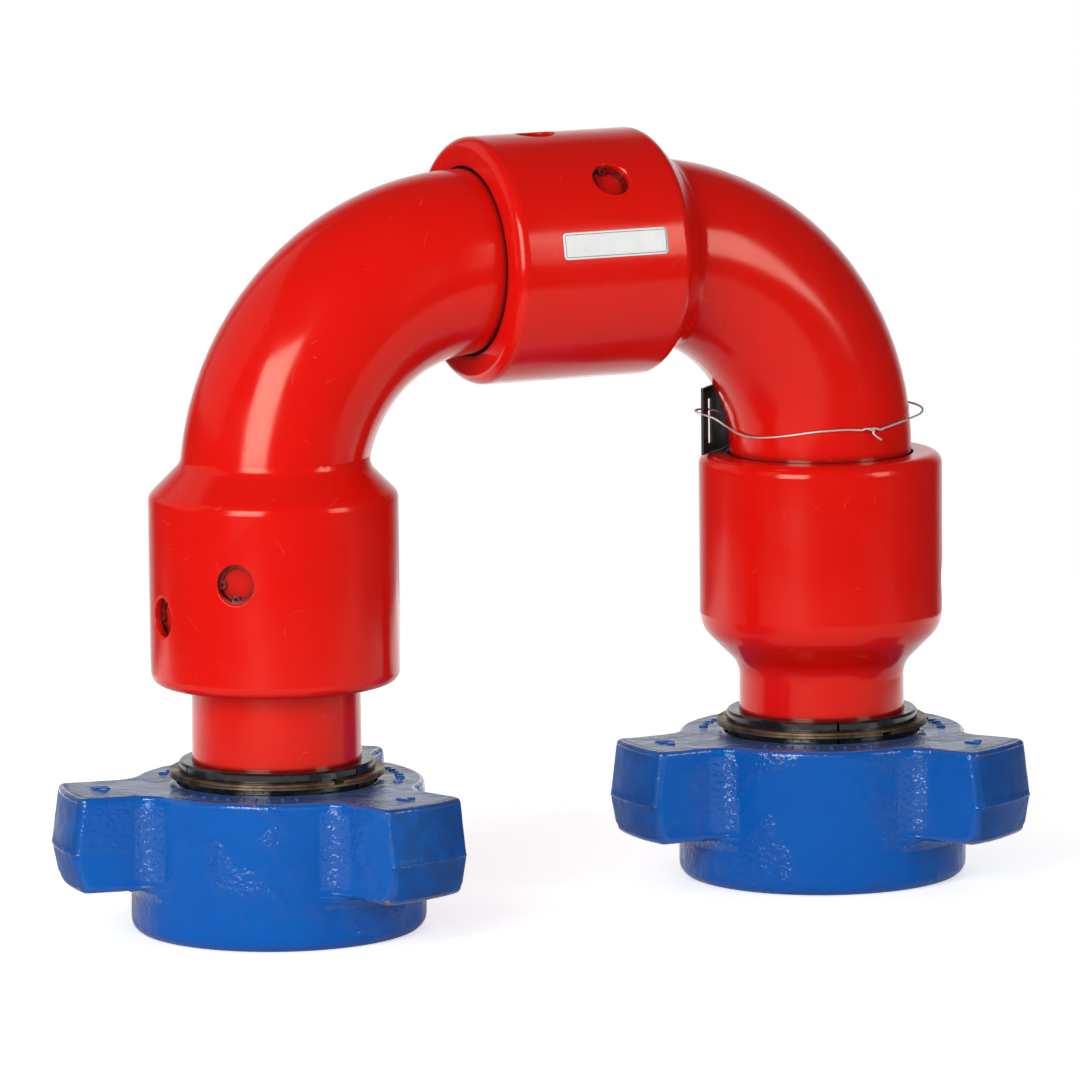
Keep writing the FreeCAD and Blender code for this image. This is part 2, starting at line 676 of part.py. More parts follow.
def make_seals(side, lip):
    """Pressure packing with its brass ring, and the mouth seal at the collar's lip."""
    place = swivel_place(side)
    near = packing_depth(size(lip))
    far = cavity_depth(size(lip))
    brass_out = BORE + size("backup_width")
    brass_far = near + size("backup_height")
    packing = new_body("%s_packing" % side)
    revolve(packing, "packing", [
        (brass_out, near), (PACKING, near), (PACKING, far), (BORE, far), (BORE, brass_far),
        (brass_out, brass_far)])
    add_node("%s_packing" % side, packing, place)
    brass = new_body("%s_backup_ring" % side)
    revolve(brass, "ring", [(BORE, near), (brass_out, near), (brass_out, brass_far),
                            (BORE, brass_far)])
    add_node("%s_backup_ring" % side, brass, place)
    seal = new_body("%s_mouth_seal" % side)
    section = new_sketch(seal, "seal_section", XZ)
    radius = size("mouth_seal_section") / 2
    draw_circle(section, TUBE + size("seal_gap") + radius, size("mouth_seal_depth"), radius)
    spin(seal, "Revolution", "seal", section, "V_Axis")
    add_node("%s_mouth_seal" % side, seal, place)


def make_left_elbow():
    place = FreeCAD.Placement(FreeCAD.Vector(0, 0, AXIS.value), FreeCAD.Rotation())
    make_elbow("left_elbow", LEFT_NECK, LEFT_REACH, "left_lip", "top_lip", place)


def make_right_elbow():
    spot = FreeCAD.Vector(LEG_SPACING.value, 0, AXIS.value)
    place = FreeCAD.Placement(spot, FreeCAD.Rotation(NORTH, 90))
    make_elbow("right_elbow", RIGHT_NECK, RIGHT_REACH, "top_lip", "right_lip", place)


def make_union_set(side):
    """Three retainer segments and the two-turn spiral ring that holds them round a stem."""
    place = union_place(side)
    inner = STEM + size("segment_gap")
    outer = size("segment_diameter") / 2
    flange = size("nut_thread") / 2 - size("flange_clearance")
    seat = size("ring_seat") / 2
    bottom = size("nose_height") + size("seat_gap")
    top = size("segment_top")
    chamfer = size("segment_chamfer")
    ring_top = size("ring_bottom") + size("ring_turn") * 2
    flange_top = size("segment_flange_top")
    sweep = Size(120, "120") - size("segment_split_angle")
    for number in range(3):
        name = "%s_segment_%d" % (side, number + 1)
        body = new_body(name)
        revolve(body, "segment", [
            (NOSE, bottom), (flange, bottom), (flange, flange_top - flange + outer),
            (outer, flange_top), (outer, size("ring_bottom") - size("ring_play")),
            (seat, size("ring_bottom") - size("ring_play")), (seat, ring_top + size("ring_play")),
            (outer, ring_top + size("ring_play")), (outer, top - chamfer),
            (outer - chamfer, top), (inner, top), (inner, bottom + NOSE - inner)], angle=sweep)
        turn = size("%s_split_angle" % side).value + 120.0 * number
        add_node(name, body, place * FreeCAD.Placement(
            FreeCAD.Vector(), FreeCAD.Rotation(UP, turn)))

    name = "%s_retaining_ring" % side
    body = new_body(name)
    inside = seat + size("ring_play")
    outside = size("ring_diameter") / 2
    edge = size("ring_edge")
    full = Size(360, "360") - size("ring_step_angle")
    for turn, low in ((0, size("ring_bottom")), (1, size("ring_bottom") + size("ring_turn"))):
        high = low + size("ring_turn")
        revolve(body, "turn_%d" % (turn + 1), [
            (inside, low), (outside - edge, low), (outside, low + edge), (outside, high - edge),
            (outside - edge, high), (inside, high)], angle=full, centred=turn == 0)
    end = size("%s_ring_end_angle" % side).value
    add_node(name, body, place * FreeCAD.Placement(FreeCAD.Vector(), FreeCAD.Rotation(UP, end)))


def union_place(side):
    spot = LEG_SPACING.value if side == "right" else 0.0
    return FreeCAD.Placement(FreeCAD.Vector(spot, 0, 0), FreeCAD.Rotation())


def wing_gap_outline():
    """Plan of the space between two wings, centred on +X, with a round at each wing's root."""
    nut = size("nut_diameter") / 2
    half = size("wing_width") / 2
    root = size("wing_root")
    root_y = half + root
    root_x = ((nut + root) * (nut + root) - root_y * root_y).root()
    share = nut / (nut + root)
    turn = math.pi / size("wing_count").value
    near_side = []
    for x, y in ((size("wing_reach") * 2, half), (root_x, half), (root_x * share, root_y * share)):
        near_side.append((x * math.cos(turn) + y * math.sin(turn),
                          y * math.cos(turn) - x * math.sin(turn)))
    outer, root_start, root_end = near_side
    return [outer, (*root_start, -root), (*root_end, nut), (root_end[0], -root_end[1], -root),
            (root_start[0], -root_start[1]), (outer[0], -outer[1])]


def make_wing_nut(side):
    """Forged nut with three drafted wings, an inner shoulder and a threaded mouth."""
    name = "%s_wing_nut" % side
    body = new_body(name)
    radius = size("nut_diameter") / 2
    height = size("nut_height")
    low_round = size("nut_round")
    low = size("wing_bottom")
    reach = size("wing_reach")
    drawn_in = reach - size("wing_draft")
    revolve(body, "blank", [
        (0, 0), (radius - low_round, 0, low_round), (radius, low_round), (radius, low),
        (drawn_in, low), (reach, size("wing_parting")), (drawn_in, height), (0, height)])
    plan = new_sketch(body, "wing_gap_plan", XY, lift=height)
    draw_outline(plan, wing_gap_outline())
    gap = pad(body, "wing_gap", plan, height - low, kind="Pocket")
    polar(body, "wing_gaps", [gap], size("wing_count"))
    fillet(body, "wing_corners", wing_corner_edges(body.Shape), size("wing_corner"))
    fillet(body, "top_round", top_edges(body.Shape), size("nut_top_round"))

    shoulder = size("nut_shoulder")
    bore = size("nut_bore") / 2
    thread = size("nut_thread") / 2
    relief_depth = size("nut_relief_depth")
    relief = thread + relief_depth
    relief_top = shoulder - relief + bore
    relief_low = relief_top - size("nut_relief_height")
    lead = size("nut_lead")
    mouth = size("nut_bore_chamfer")
    revolve(body, "inside", [
        (0, 0), (thread + lead, 0), (thread, lead), (thread, relief_low - relief_depth),
        (relief, relief_low), (relief, relief_top), (bore, shoulder),
        (bore, height - mouth), (bore + mouth, height), (0, height)], "Groove")
    turn = size("%s_nut_angle" % side).value - 180 / size("wing_count").value
    add_node(name, body, union_place(side) * FreeCAD.Placement(
        FreeCAD.Vector(), FreeCAD.Rotation(UP, turn)))


def wing_corner_edges(shape):
    """Upright edges between a wing's sides and its end."""
    inside = size("wing_reach").value - 2 * size("wing_draft").value

    def is_corner(edge):
        middle = edge.CenterOfMass
        return edge.BoundBox.ZLength > 1 and math.hypot(middle.x, middle.y) > inside
    return named_edges(shape, is_corner)


def top_edges(shape):
    """Outline of the nut's flat top."""
    height = size("nut_height").value

    def is_top(edge):
        return edge.BoundBox.ZMin > height - 0.001
    return named_edges(shape, is_top)


def make_label():
    """Thin blank sticker on the top collar."""
    body = new_body("label")
    near = size("label_start")
    far = near + size("label_length")
    outer = COLLAR + size("label_thickness")
    revolve(body, "sheet", [(COLLAR, near), (outer, near), (outer, far), (COLLAR, far)],
            angle=size("label_sweep_angle"))
    add_node("label", body, swivel_place("top") * FreeCAD.Placement(
        FreeCAD.Vector(), FreeCAD.Rotation(UP, size("label_angle").value)))


def tag_place(lift):
    spot = FreeCAD.Vector(LEG_SPACING.value, 0, (RIGHT_RIM + lift).value)
    return FreeCAD.Placement(spot, FreeCAD.Rotation(UP, size("tag_angle").value))


def make_tag():
    """Slotted plate that stands on the right collar's rim beside the elbow."""
    body = new_body("id_tag")
    sketch = new_sketch(body, "plate_outline", YZ, lift=TUBE + size("tag_standoff"))
    near = size("tag_shift") + size("tag_length") / 2
    far = size("tag_shift") - size("tag_length") / 2
    high = size("tag_height")
    draw_outline(sketch, [(far, 0), (near, 0), (near, high), (far, high)])
    slot_near = near - size("slot_margin")
    slot_far = slot_near - size("slot_width")
    low = size("slot_bottom")
    top = low + size("slot_height")
    draw_outline(sketch, [(slot_far, low), (slot_near, low), (slot_near, top), (slot_far, top)])
    pad(body, "plate", sketch, size("tag_thickness"))
    add_node("id_tag", body, tag_place(size("tag_clearance")))


def run_round_corners(points, bend):
    """Edges of straight runs through the points, joined by tangent arcs of one radius."""
    edges = []
    last = points[0]
    for before, corner, after in zip(points, points[1:], points[2:]):
        inward = (before - corner).normalize()
        outward = (after - corner).normalize()
        half = inward.getAngle(outward) / 2
        start = corner + inward * (bend / math.tan(half))
        end = corner + outward * (bend / math.tan(half))
        crest = corner + (inward + outward).normalize() * (bend / math.sin(half) - bend)
        edges.append(Part.LineSegment(last, start).toShape())
        edges.append(Part.Arc(start, crest, end).toShape())
        last = end
    edges.append(Part.LineSegment(last, points[-1]).toShape())
    return edges


def make_tie_wire():
    """Loop of wire round the outlet elbow and through the tag's slot, ends twisted outside."""
    bend = size("bend_radius").value
    tube = TUBE.value
    above_bend = (RIGHT_RIM + size("wire_height") - AXIS).value + bend
    outer_side = math.sqrt((bend + tube) ** 2 - above_bend ** 2) - bend
    inner_side = bend - math.sqrt((bend - tube) ** 2 - above_bend ** 2)
    radius = size("wire_diameter").value / 2
    gap = size("wire_gap").value + radius
    loop = (outer_side + inner_side) / 2 + gap
    centre = FreeCAD.Placement(
        FreeCAD.Vector((outer_side - inner_side) / 2, 0, 0), FreeCAD.Rotation())
    place = centre * tag_place(size("wire_height"))
    to_tag = place.inverse() * tag_place(size("wire_height"))

    plate = tube + (size("tag_standoff") + size("tag_thickness") / 2).value + to_tag.Base.x
    outside = plate + size("tag_thickness").value / 2 + gap
    edge = (size("tag_shift") + size("tag_length") / 2).value + to_tag.Base.y
    slot_middle = edge - (size("slot_margin") + size("slot_width") / 2).value
    knot = FreeCAD.Vector(outside, edge + gap + radius, 0)
    start = knot - FreeCAD.Vector(2 * radius, 0, 0)
    touch_angle = math.atan2(start.y, start.x) + math.acos(loop / start.Length)
    far_angle = touch_angle / 2 + math.pi
    touch = FreeCAD.Vector(math.cos(touch_angle), math.sin(touch_angle), 0) * loop
    far = FreeCAD.Vector(math.cos(far_angle), math.sin(far_angle), 0) * loop
    leave = FreeCAD.Vector(loop, 0, 0)
    through_slot = [leave, FreeCAD.Vector(loop, slot_middle - plate + loop, 0),
                    FreeCAD.Vector(outside, slot_middle - plate + outside, 0), knot]
    edges = [Part.LineSegment(start, touch).toShape(), Part.Arc(touch, far, leave).toShape()]
    edges += run_round_corners(through_slot, size("wire_bend").value)
    sideways = UP.cross(touch - start).normalize()
    corners = [start + UP * (radius * math.sin(turn)) + sideways * (radius * math.cos(turn))
               for turn in (math.radians(45 * number) for number in range(9))]
    strand = Part.Wire(edges).makePipeShell([Part.makePolygon(corners)], True, False)

    middle = (knot + start) * 0.5 - FreeCAD.Vector(0, radius, 0)
    twist = Part.makeCylinder(2.3 * radius, size("wire_tail").value, middle, NORTH)
    feature = doc.addObject("Part::Feature", "tie_wire")
    feature.Shape = strand.fuse(twist)
    add_node("tie_wire", feature, place)


def check_document():
    for thing in doc.Objects:
        if "Invalid" in thing.State or "Error" in thing.State:
            raise RuntimeError("%s is %s" % (thing.Label, thing.State))
    for name, thing in nodes:
        if thing.Shape.isNull() or not thing.Shape.isValid():
            raise RuntimeError("%s has no valid shape" % name)


def export():
    os.makedirs("parts", exist_ok=True)
    for name, thing in nodes:
        thing.Shape.exportStep("parts/%s.step" % name)


make_left_stem()
make_left_elbow()
make_right_elbow()
make_right_body()
for side, lip, first, grease in (
        ("left", "left_lip", "port_angle", "grease_angle"),
        ("top", "top_lip", "port_angle", "grease_angle"),
        ("right", "right_lip", "body_port_angle", "body_grease_angle")):
    for row in range(3):
        make_ball_row("%s_ball_row_%d" % (side, row + 1), race_depth(size(lip), row),
                      swivel_place(side))
    make_ports(side, first, lip)
    make_grease_fitting(side, grease, lip)
    make_seals(side, lip)
for side in ("left", "right"):
    make_union_set(side)
    make_wing_nut(side)
make_label()
make_tag()
make_tie_wire()
doc.recompute()
check_document()
export()
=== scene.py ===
"""Finishes, wing nuts and trim of a long sweep swivel joint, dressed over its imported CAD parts."""

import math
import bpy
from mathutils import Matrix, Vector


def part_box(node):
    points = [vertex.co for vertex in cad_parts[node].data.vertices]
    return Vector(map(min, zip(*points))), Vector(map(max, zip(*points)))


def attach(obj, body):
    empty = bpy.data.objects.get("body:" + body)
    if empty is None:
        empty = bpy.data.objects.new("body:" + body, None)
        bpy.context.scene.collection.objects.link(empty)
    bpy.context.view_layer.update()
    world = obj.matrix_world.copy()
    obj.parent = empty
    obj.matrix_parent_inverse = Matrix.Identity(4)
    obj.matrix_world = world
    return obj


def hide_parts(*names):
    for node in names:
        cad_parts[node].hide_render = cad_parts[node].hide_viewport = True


bl_info = {
    "name": "Long Sweep Swivel Joint",
    "version": (1, 0, 0),
    "blender": (4, 5, 0),
    "location": "View3D > Sidebar > Swivel Joint",
    "description": "Makes the finishes, wing nuts, label, wire and studio of a long sweep swivel joint",
    "category": "Object",
}

import bpy
from mathutils import Matrix, Quaternion, Vector, noise

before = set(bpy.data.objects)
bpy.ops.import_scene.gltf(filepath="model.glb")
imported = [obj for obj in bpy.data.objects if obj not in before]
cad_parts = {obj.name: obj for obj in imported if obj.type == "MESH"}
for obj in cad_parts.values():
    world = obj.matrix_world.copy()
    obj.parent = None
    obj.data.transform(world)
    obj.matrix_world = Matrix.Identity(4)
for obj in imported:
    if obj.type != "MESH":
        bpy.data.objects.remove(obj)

MM = 0.001
SIDES = ("left", "right")
SWIVELS = ("left", "top", "right")

# Colours of dirt, wear and print, and of painted shade and painted sheen
SPECK = (0.12, 0.014, 0.01)
SCRATCH = (0.88, 0.2, 0.13)
# Near-black red laid on as painted shade where ambient occlusion finds crevices, ports and joints
CREVICE_SHADE = (0.035, 0.006, 0.005)
DUST_AND_SHEEN = (0.1, 0.115, 0.13)
# Grey laid on the nuts' upward faces as dust and as painted sheen of the backdrop
BRUISE = (0.008, 0.045, 0.17)
TEAL = (0.05, 0.16, 0.17)


def box_middle(node):
    low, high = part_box(node)
    return (Vector(low) + Vector(high)) / 2


# Sizes and colours


def colour(title, use, default):
    return bpy.props.FloatVectorProperty(
        name=title, description=use, subtype="COLOR", size=3, min=0, max=1, default=default)


def length(title, use, default):
    return bpy.props.FloatProperty(
        name=title, description=use, unit="LENGTH", precision=4, default=default)


def angle(title, use, default):
    return bpy.props.FloatProperty(
        name=title, description=use, subtype="ANGLE", default=math.radians(default))


class EnamelSettings(bpy.types.PropertyGroup):
    red: colour("Red enamel", "Colour of the forgings", (0.73, 0.0065, 0.0036))
    red_thin: colour("Thin red", "Colour where the red coat is thin", (0.61, 0.0075, 0.0045))
    blue: colour("Blue enamel", "Colour of the wing nuts", (0.0035, 0.1, 0.43))
    blue_thin: colour("Thin blue", "Colour where the blue coat is thin", (0.004, 0.072, 0.34))
    bare: colour("Bare metal", "Steel that shows in chips", (0.19, 0.165, 0.145))
    rust: colour("Rust", "Rust round the chips", (0.24, 0.075, 0.028))


class NutSettings(bpy.types.PropertyGroup):
    radius: length("Radius", "Radius of the nut's round body", 0.083)
    height: length("Height", "Height of the nut", 0.084)
    low_round: length("Lower round", "Round on the nut's lower edge", 0.0075)
    top_round: length("Upper round", "Round on the nut's upper edges", 0.0032)
    wing_reach: length("Wing reach", "Nut axis to a wing's end at its parting line", 0.1273)
    wing_half: length("Half wing", "Half of a wing's width at its parting line", 0.0292)
    wing_root: length("Wing root", "Round between wing and nut", 0.018)
    wing_corner: length("Wing corner", "Round on a wing's upright edges", 0.0062)
    wing_bottom: length("Wing bottom", "Height of the wings' underside", 0.0295)
    under_root: length("Root under wing", "Round between a wing's underside and the nut", 0.006)
    under_edge: length("Lower wing edge", "Round on a wing's lower edge", 0.0045)
    parting: length("Parting line", "Height of the wings' parting line", 0.052)
    end_draft: length("End draft", "How far a wing's end draws in at top and bottom", 0.0043)
    flash: length("Flash", "Height of the trimmed flash at the parting line", 0.0004)
    bore: length("Bore", "Radius of the bore above the shoulder", 0.056)
    bore_edge: length("Bore edge", "Chamfer at the top of the bore", 0.001)
    shoulder: length("Shoulder", "Height of the inner shoulder", 0.058)
    relief: length("Relief", "Radius of the relief above the thread", 0.0675)
    thread: length("Thread", "Radius of the thread's crests", 0.0635)
    thread_depth: length("Thread depth", "Depth of the thread", 0.0032)
    thread_pitch: length("Thread pitch", "Rise of the thread in one turn", 0.00635)
    thread_top: length("Thread top", "Height of the thread's upper end", 0.038)
    lead: length("Lead", "Chamfer at the thread's mouth", 0.003)
    skin: length("Forging skin", "Depth of the forging's unevenness", 0.0005)
    left_turn: angle("Left nut", "Direction of the left nut's first wing", 48.6)
    right_turn: angle("Right nut", "Direction of the right nut's first wing", 60.0)


class TrimSettings(bpy.types.PropertyGroup):
    label_round: length("Label corner", "Round of the label's corners", 0.0022)
    frame_inset: length("Label frame inset", "Label's edge to its printed frame", 0.0012)
    frame_width: length("Label frame width", "Width of the printed frame", 0.0004)
    mark_height: length("Mark height", "Height of the raised marks on the nuts", 0.0009)
    wire_radius: length("Wire radius", "Radius of the tie wire", 0.0006)


class StudioSettings(bpy.types.PropertyGroup):
    target: bpy.props.FloatVectorProperty(
        name="Target", description="Point that the camera looks at", subtype="TRANSLATION",
        size=3, default=(0.1658, 0.0, 0.2069))
    azimuth: angle("Azimuth", "Turn of the camera's view to the right of +Y", 26.4)
    elevation: angle("Elevation", "How far the camera looks down", 8.36)
    roll: angle("Roll", "Tilt of the camera", -0.58)
    distance: length("Distance", "Camera to target", 5.2225)
    lens: bpy.props.FloatProperty(
        name="Focal length", description="Focal length in millimetres", default=307.455)
    sensor: bpy.props.FloatProperty(
        name="Sensor", description="Width of the camera's sensor in millimetres", default=36.0)
    floor: colour("Floor", "Colour of the floor", (0.8, 0.8, 0.8))
    even_light: bpy.props.FloatProperty(
        name="Even light", description="Brightness of the studio all round", default=0.25)


SETTINGS = {"swivel_enamel": EnamelSettings, "swivel_nut": NutSettings,
            "swivel_trim": TrimSettings, "swivel_studio": StudioSettings}


# Shader nodes


def plug_in(tree, socket, value):
    """Links a socket's value, or sets it where it is a number or a colour."""
    if isinstance(value, bpy.types.NodeSocket):
        tree.links.new(value, socket)
    elif socket.type == "RGBA":
        socket.default_value = (*value, 1.0)
    else:
        socket.default_value = value


def add(tree, kind, title, inputs, **settings):
    node = tree.nodes.new(kind)
    node.label = title
    for key, value in settings.items():
        setattr(node, key, value)
    for key, value in inputs.items():
        plug_in(tree, node.inputs[key], value)
    return node


def calculate(tree, title, operation, first, second=0.0):
    return add(tree, "ShaderNodeMath", title, {0: first, 1: second}, operation=operation).outputs[0]


def opposite(tree, title, mask):
    """What a mask leaves out, as a mask."""
    return calculate(tree, title, "SUBTRACT", 1.0, mask)


def add_share(tree, title, value, mask, amount):
    """Adds an amount to a value as far as a mask shows."""
    return calculate(tree, title, "ADD", value, calculate(
        tree, title + " share", "MULTIPLY", mask, amount))


def ramp(tree, title, value, low, high, to_low=0.0, to_high=1.0):
    """Takes a value's range from low to high smoothly onto another range."""
    return add(tree, "ShaderNodeMapRange", title, {
        "Value": value, "From Min": low, "From Max": high, "To Min": to_low, "To Max": to_high},
        interpolation_type="SMOOTHSTEP").outputs["Result"]


def cloud(tree, title, place, size, detail=3.0, roughness=0.5):
    """Noise of a given size in metres."""
    if isinstance(size, bpy.types.NodeSocket):
        scale = calculate(tree, title + " scale", "DIVIDE", 1.0, size)
    else:
        scale = 1.0 / size
    return add(tree, "ShaderNodeTexNoise", title, {
        "Vector": place, "Scale": scale, "Detail": detail, "Roughness": roughness}).outputs["Fac"]


def gloss(tree, patches, low, high):
    """Roughness that drifts from low to high over the patches of a cloud."""
    return ramp(tree, "Gloss", patches, 0.3, 0.7, low, high)


def cloud_height(tree, title, place, size, depth, detail=3.0):
    """Height in metres of a relief of one size and depth."""
    return calculate(tree, title + " height", "MULTIPLY", cloud(
        tree, title, place, size, detail), depth)


def attribute(tree, title, name):
    return add(tree, "ShaderNodeAttribute", title, {}, attribute_name=name).outputs


def cover(tree, base, *coats):
    """Colour under coats, each given by its title, mask and colour."""
    for title, mask, tint in coats:
        base = add(tree, "ShaderNodeMix", title, {"Factor": mask, 6: base, 7: tint},
                   data_type="RGBA").outputs[2]
    return base


def new_group(title, inputs, outputs):
    group = bpy.data.node_groups.new(title, "ShaderNodeTree")
    group.interface.new_socket("Place", in_out="INPUT", socket_type="NodeSocketVector")
    for name, default in inputs.items():
        socket = group.interface.new_socket(name, in_out="INPUT", socket_type="NodeSocketFloat")
        socket.default_value = default
    for name in outputs:
        group.interface.new_socket(name, in_out="OUTPUT", socket_type="NodeSocketFloat")
    start = add(group, "NodeGroupInput", "Inputs", {})
    end = add(group, "NodeGroupOutput", "Outputs", {})
    return group, start.outputs, end.inputs


def forging_skin():
    """Height in metres of a painted forging: slow waves, hammer scale and orange peel."""
    group, given, result = new_group("Forging skin", {
        "Wave Size": 0.03, "Wave Depth": 0.00008, "Scale Size": 0.004, "Scale Depth": 0.00001,
        "Peel Size": 0.0016, "Peel Depth": 0.000003}, ["Height"])
    total = None
    for part, detail in (("Wave", 1.0), ("Scale", 4.0), ("Peel", 1.0)):
        size, depth = given[part + " Size"], given[part + " Depth"]
        height = cloud_height(group, part, given["Place"], size, depth, detail)
        total = height if total is None else calculate(group, "Sum", "ADD", total, height)
    plug_in(group, result["Height"], total)
    return group


def worn_spots():
    """Chips along worn edges, and the rusty rim round them."""
    group, given, result = new_group("Worn spots", {
        "Edge": 0.0, "Spread": 0.35, "Spot Size": 0.006, "Stray": 0.0}, ["Chip", "Rim"])
    large = cloud(group, "Where worn", given["Place"], 0.03, 2.0)
    spots = cloud(group, "Spots", given["Place"], given["Spot Size"], 5.0, 0.62)
    worn = calculate(group, "Worn", "MULTIPLY", given["Edge"], ramp(group, "Patches", large, 0.38, 0.66))
    reach = calculate(group, "Reach", "MULTIPLY", worn, given["Spread"])
    reach = calculate(group, "Reach and strays", "ADD", reach, given["Stray"])
    level = calculate(group, "Level", "ADD", spots, reach)
    plug_in(group, result["Chip"], ramp(group, "Chip", level, 0.86, 0.885))
    plug_in(group, result["Rim"], ramp(group, "Rim", level, 0.8, 0.87))
    return group


def fine_scratches():
    """Thin curved scratches in short runs, as a mask."""
    group, given, result = new_group("Fine scratches", {
        "Length": 0.02, "Width": 0.0003, "Amount": 0.5}, ["Scratch"])
    bends = cloud(group, "Bends", given["Place"], given["Length"], 0.0)
    off = calculate(group, "Off the line", "SUBTRACT", 0.5, calculate(
        group, "Folded bends", "PINGPONG", bends, 0.5))
    off = calculate(group, "Off in metres", "MULTIPLY", off, given["Length"])
    off = calculate(group, "Off in widths", "DIVIDE", off, given["Width"])
    thin = ramp(group, "Thin lines", off, 0.05, 0.2, 1.0, 0.0)
    run = calculate(group, "Run length", "MULTIPLY", given["Length"], 0.4)
    shown = ramp(group, "Shown", cloud(group, "Gaps", given["Place"], run, 2.0), 0.58, 0.66)
    both = calculate(group, "Lines shown", "MULTIPLY", thin, shown)
    plug_in(group, result["Scratch"], calculate(group, "Amount", "MULTIPLY", both, given["Amount"]))
    return group


def place_group(tree, make, title, inputs):
    """Outputs of the node group that a function makes, built once and then shared."""
    group = bpy.data.node_groups.get(make.__name__.replace("_", " ").capitalize()) or make()
    return add(tree, "ShaderNodeGroup", title, inputs, node_tree=group).outputs


def skin_height(tree, title, place, wave, scale, peel):
    """Height of a forging's skin, each of its three parts given by size and depth in metres."""
    inputs = {"Place": place}
    for part, (size, depth) in (("Wave", wave), ("Scale", scale), ("Peel", peel)):
        inputs[part + " Size"] = size
        inputs[part + " Depth"] = depth
    return place_group(tree, forging_skin, title, inputs)["Height"]


def scratched(tree, place, length, width, amount):
    """Mask of fine scratches, their length and width in metres."""
    return place_group(tree, fine_scratches, "Scratches", {
        "Place": place, "Length": length, "Width": width, "Amount": amount})["Scratch"]


def new_material(name, tint):
    """Material with an empty tree, and its place on the part."""
    material = bpy.data.materials.new(name)
    material.use_nodes = True
    material.diffuse_color = (*tint, 1.0)
    tree = material.node_tree
    tree.nodes.clear()
    place = add(tree, "ShaderNodeTexCoord", "Place on the part", {}).outputs["Object"]
    return material, tree, place


def surfaced(material, **inputs):
    """The material, with a surface set by the inputs."""
    names = {key.replace("_", " "): value for key, value in inputs.items()}
    surface = add(material.node_tree, "ShaderNodeBsdfPrincipled", "Surface", names)
    add(material.node_tree, "ShaderNodeOutputMaterial", "Output", {"Surface": surface.outputs[0]})
    return material


def bump(tree, height, round_edge=0.0):
    """Normal of a surface with a relief, its sharp edges eased over a radius."""
    relief = add(tree, "ShaderNodeBump", "Relief", {"Height": height, "Distance": 1.0})
    if round_edge:
        eased = add(tree, "ShaderNodeBevel", "Eased edges", {"Radius": round_edge}, samples=6)
        plug_in(tree, relief.inputs["Normal"], eased.outputs[0])
    return relief.outputs["Normal"]


def crevices(tree, reach, closed, opened):
    """Mask of painted shade: high where ambient occlusion finds a place sheltered within the reach."""
    shade = add(tree, "ShaderNodeAmbientOcclusion", "Shelter", {"Distance": reach}, samples=12)
    return ramp(tree, "Crevices", shade.outputs["AO"], closed, opened, 1.0, 0.0)


# Finishes


def red_enamel_finish(name, reach, closed, opened):
    """Glossy red enamel over smooth forgings, darkened by painted shade within reach of its crevices."""
    paint = bpy.context.scene.swivel_enamel
    material, tree, place = new_material(name, paint.red)
    thin = ramp(tree, "Thin coat", cloud(tree, "Coat", place, 0.06), 0.45, 0.75, 0.0, 0.3)
    specks = ramp(tree, "Specks", cloud(tree, "Dirt", place, 0.0035, 2.0), 0.74, 0.79, 0.0, 0.7)
    base = cover(tree, paint.red, ("Thin red", thin, paint.red_thin), ("Specks", specks, SPECK),
                 ("Scratches", scratched(tree, place, length=0.03, width=0.0003, amount=0.48), SCRATCH),
                 # The last coat is painted shade, darkest in crevices, ports and joints
                 ("Painted crevice shade", crevices(tree, reach, closed, opened), CREVICE_SHADE))
    skin = skin_height(tree, "Enamel skin", place, wave=(0.035, 0.00012), scale=(0.006, 0.000009),
                       peel=(0.0022, 0.0000025))
    rough = gloss(tree, cloud(tree, "Gloss patches", place, 0.025), 0.13, 0.19)
    rough = add_share(tree, "Dull specks", rough, specks, 0.3)
    return surfaced(material, Base_Color=base, Roughness=rough, Specular_IOR_Level=0.48,
                    Specular_Tint=(1.0, 0.8, 0.62), Normal=bump(tree, skin, round_edge=0.0007))


def overpainted_steel_finish():
    """Spring steel under red enamel that is darkened as painted shade of its port, the enamel flaked off
    its edges.
    """
    paint = bpy.context.scene.swivel_enamel
    material, tree, place = new_material("overpainted_steel_finish", paint.red)
    flakes = cloud(tree, "Flakes", place, 0.0022, 4.0, 0.6)
    bare = ramp(tree, "Bare steel", flakes, 0.64, 0.7)
    # The dark red under the bare flakes is painted shade of the port's recess, darker than the collars'
    # enamel
    base = cover(tree, (0.16, 0.008, 0.006), ("Bare steel", bare, (0.5, 0.44, 0.4)))
    height = calculate(tree, "Flake depth", "MULTIPLY", flakes, 0.00006)
    metal = calculate(tree, "Bare metal", "MULTIPLY", bare, 0.9)
    return surfaced(material, Base_Color=base, Metallic=metal, Normal=bump(tree, height),
                    Roughness=gloss(tree, flakes, 0.2, 0.34))


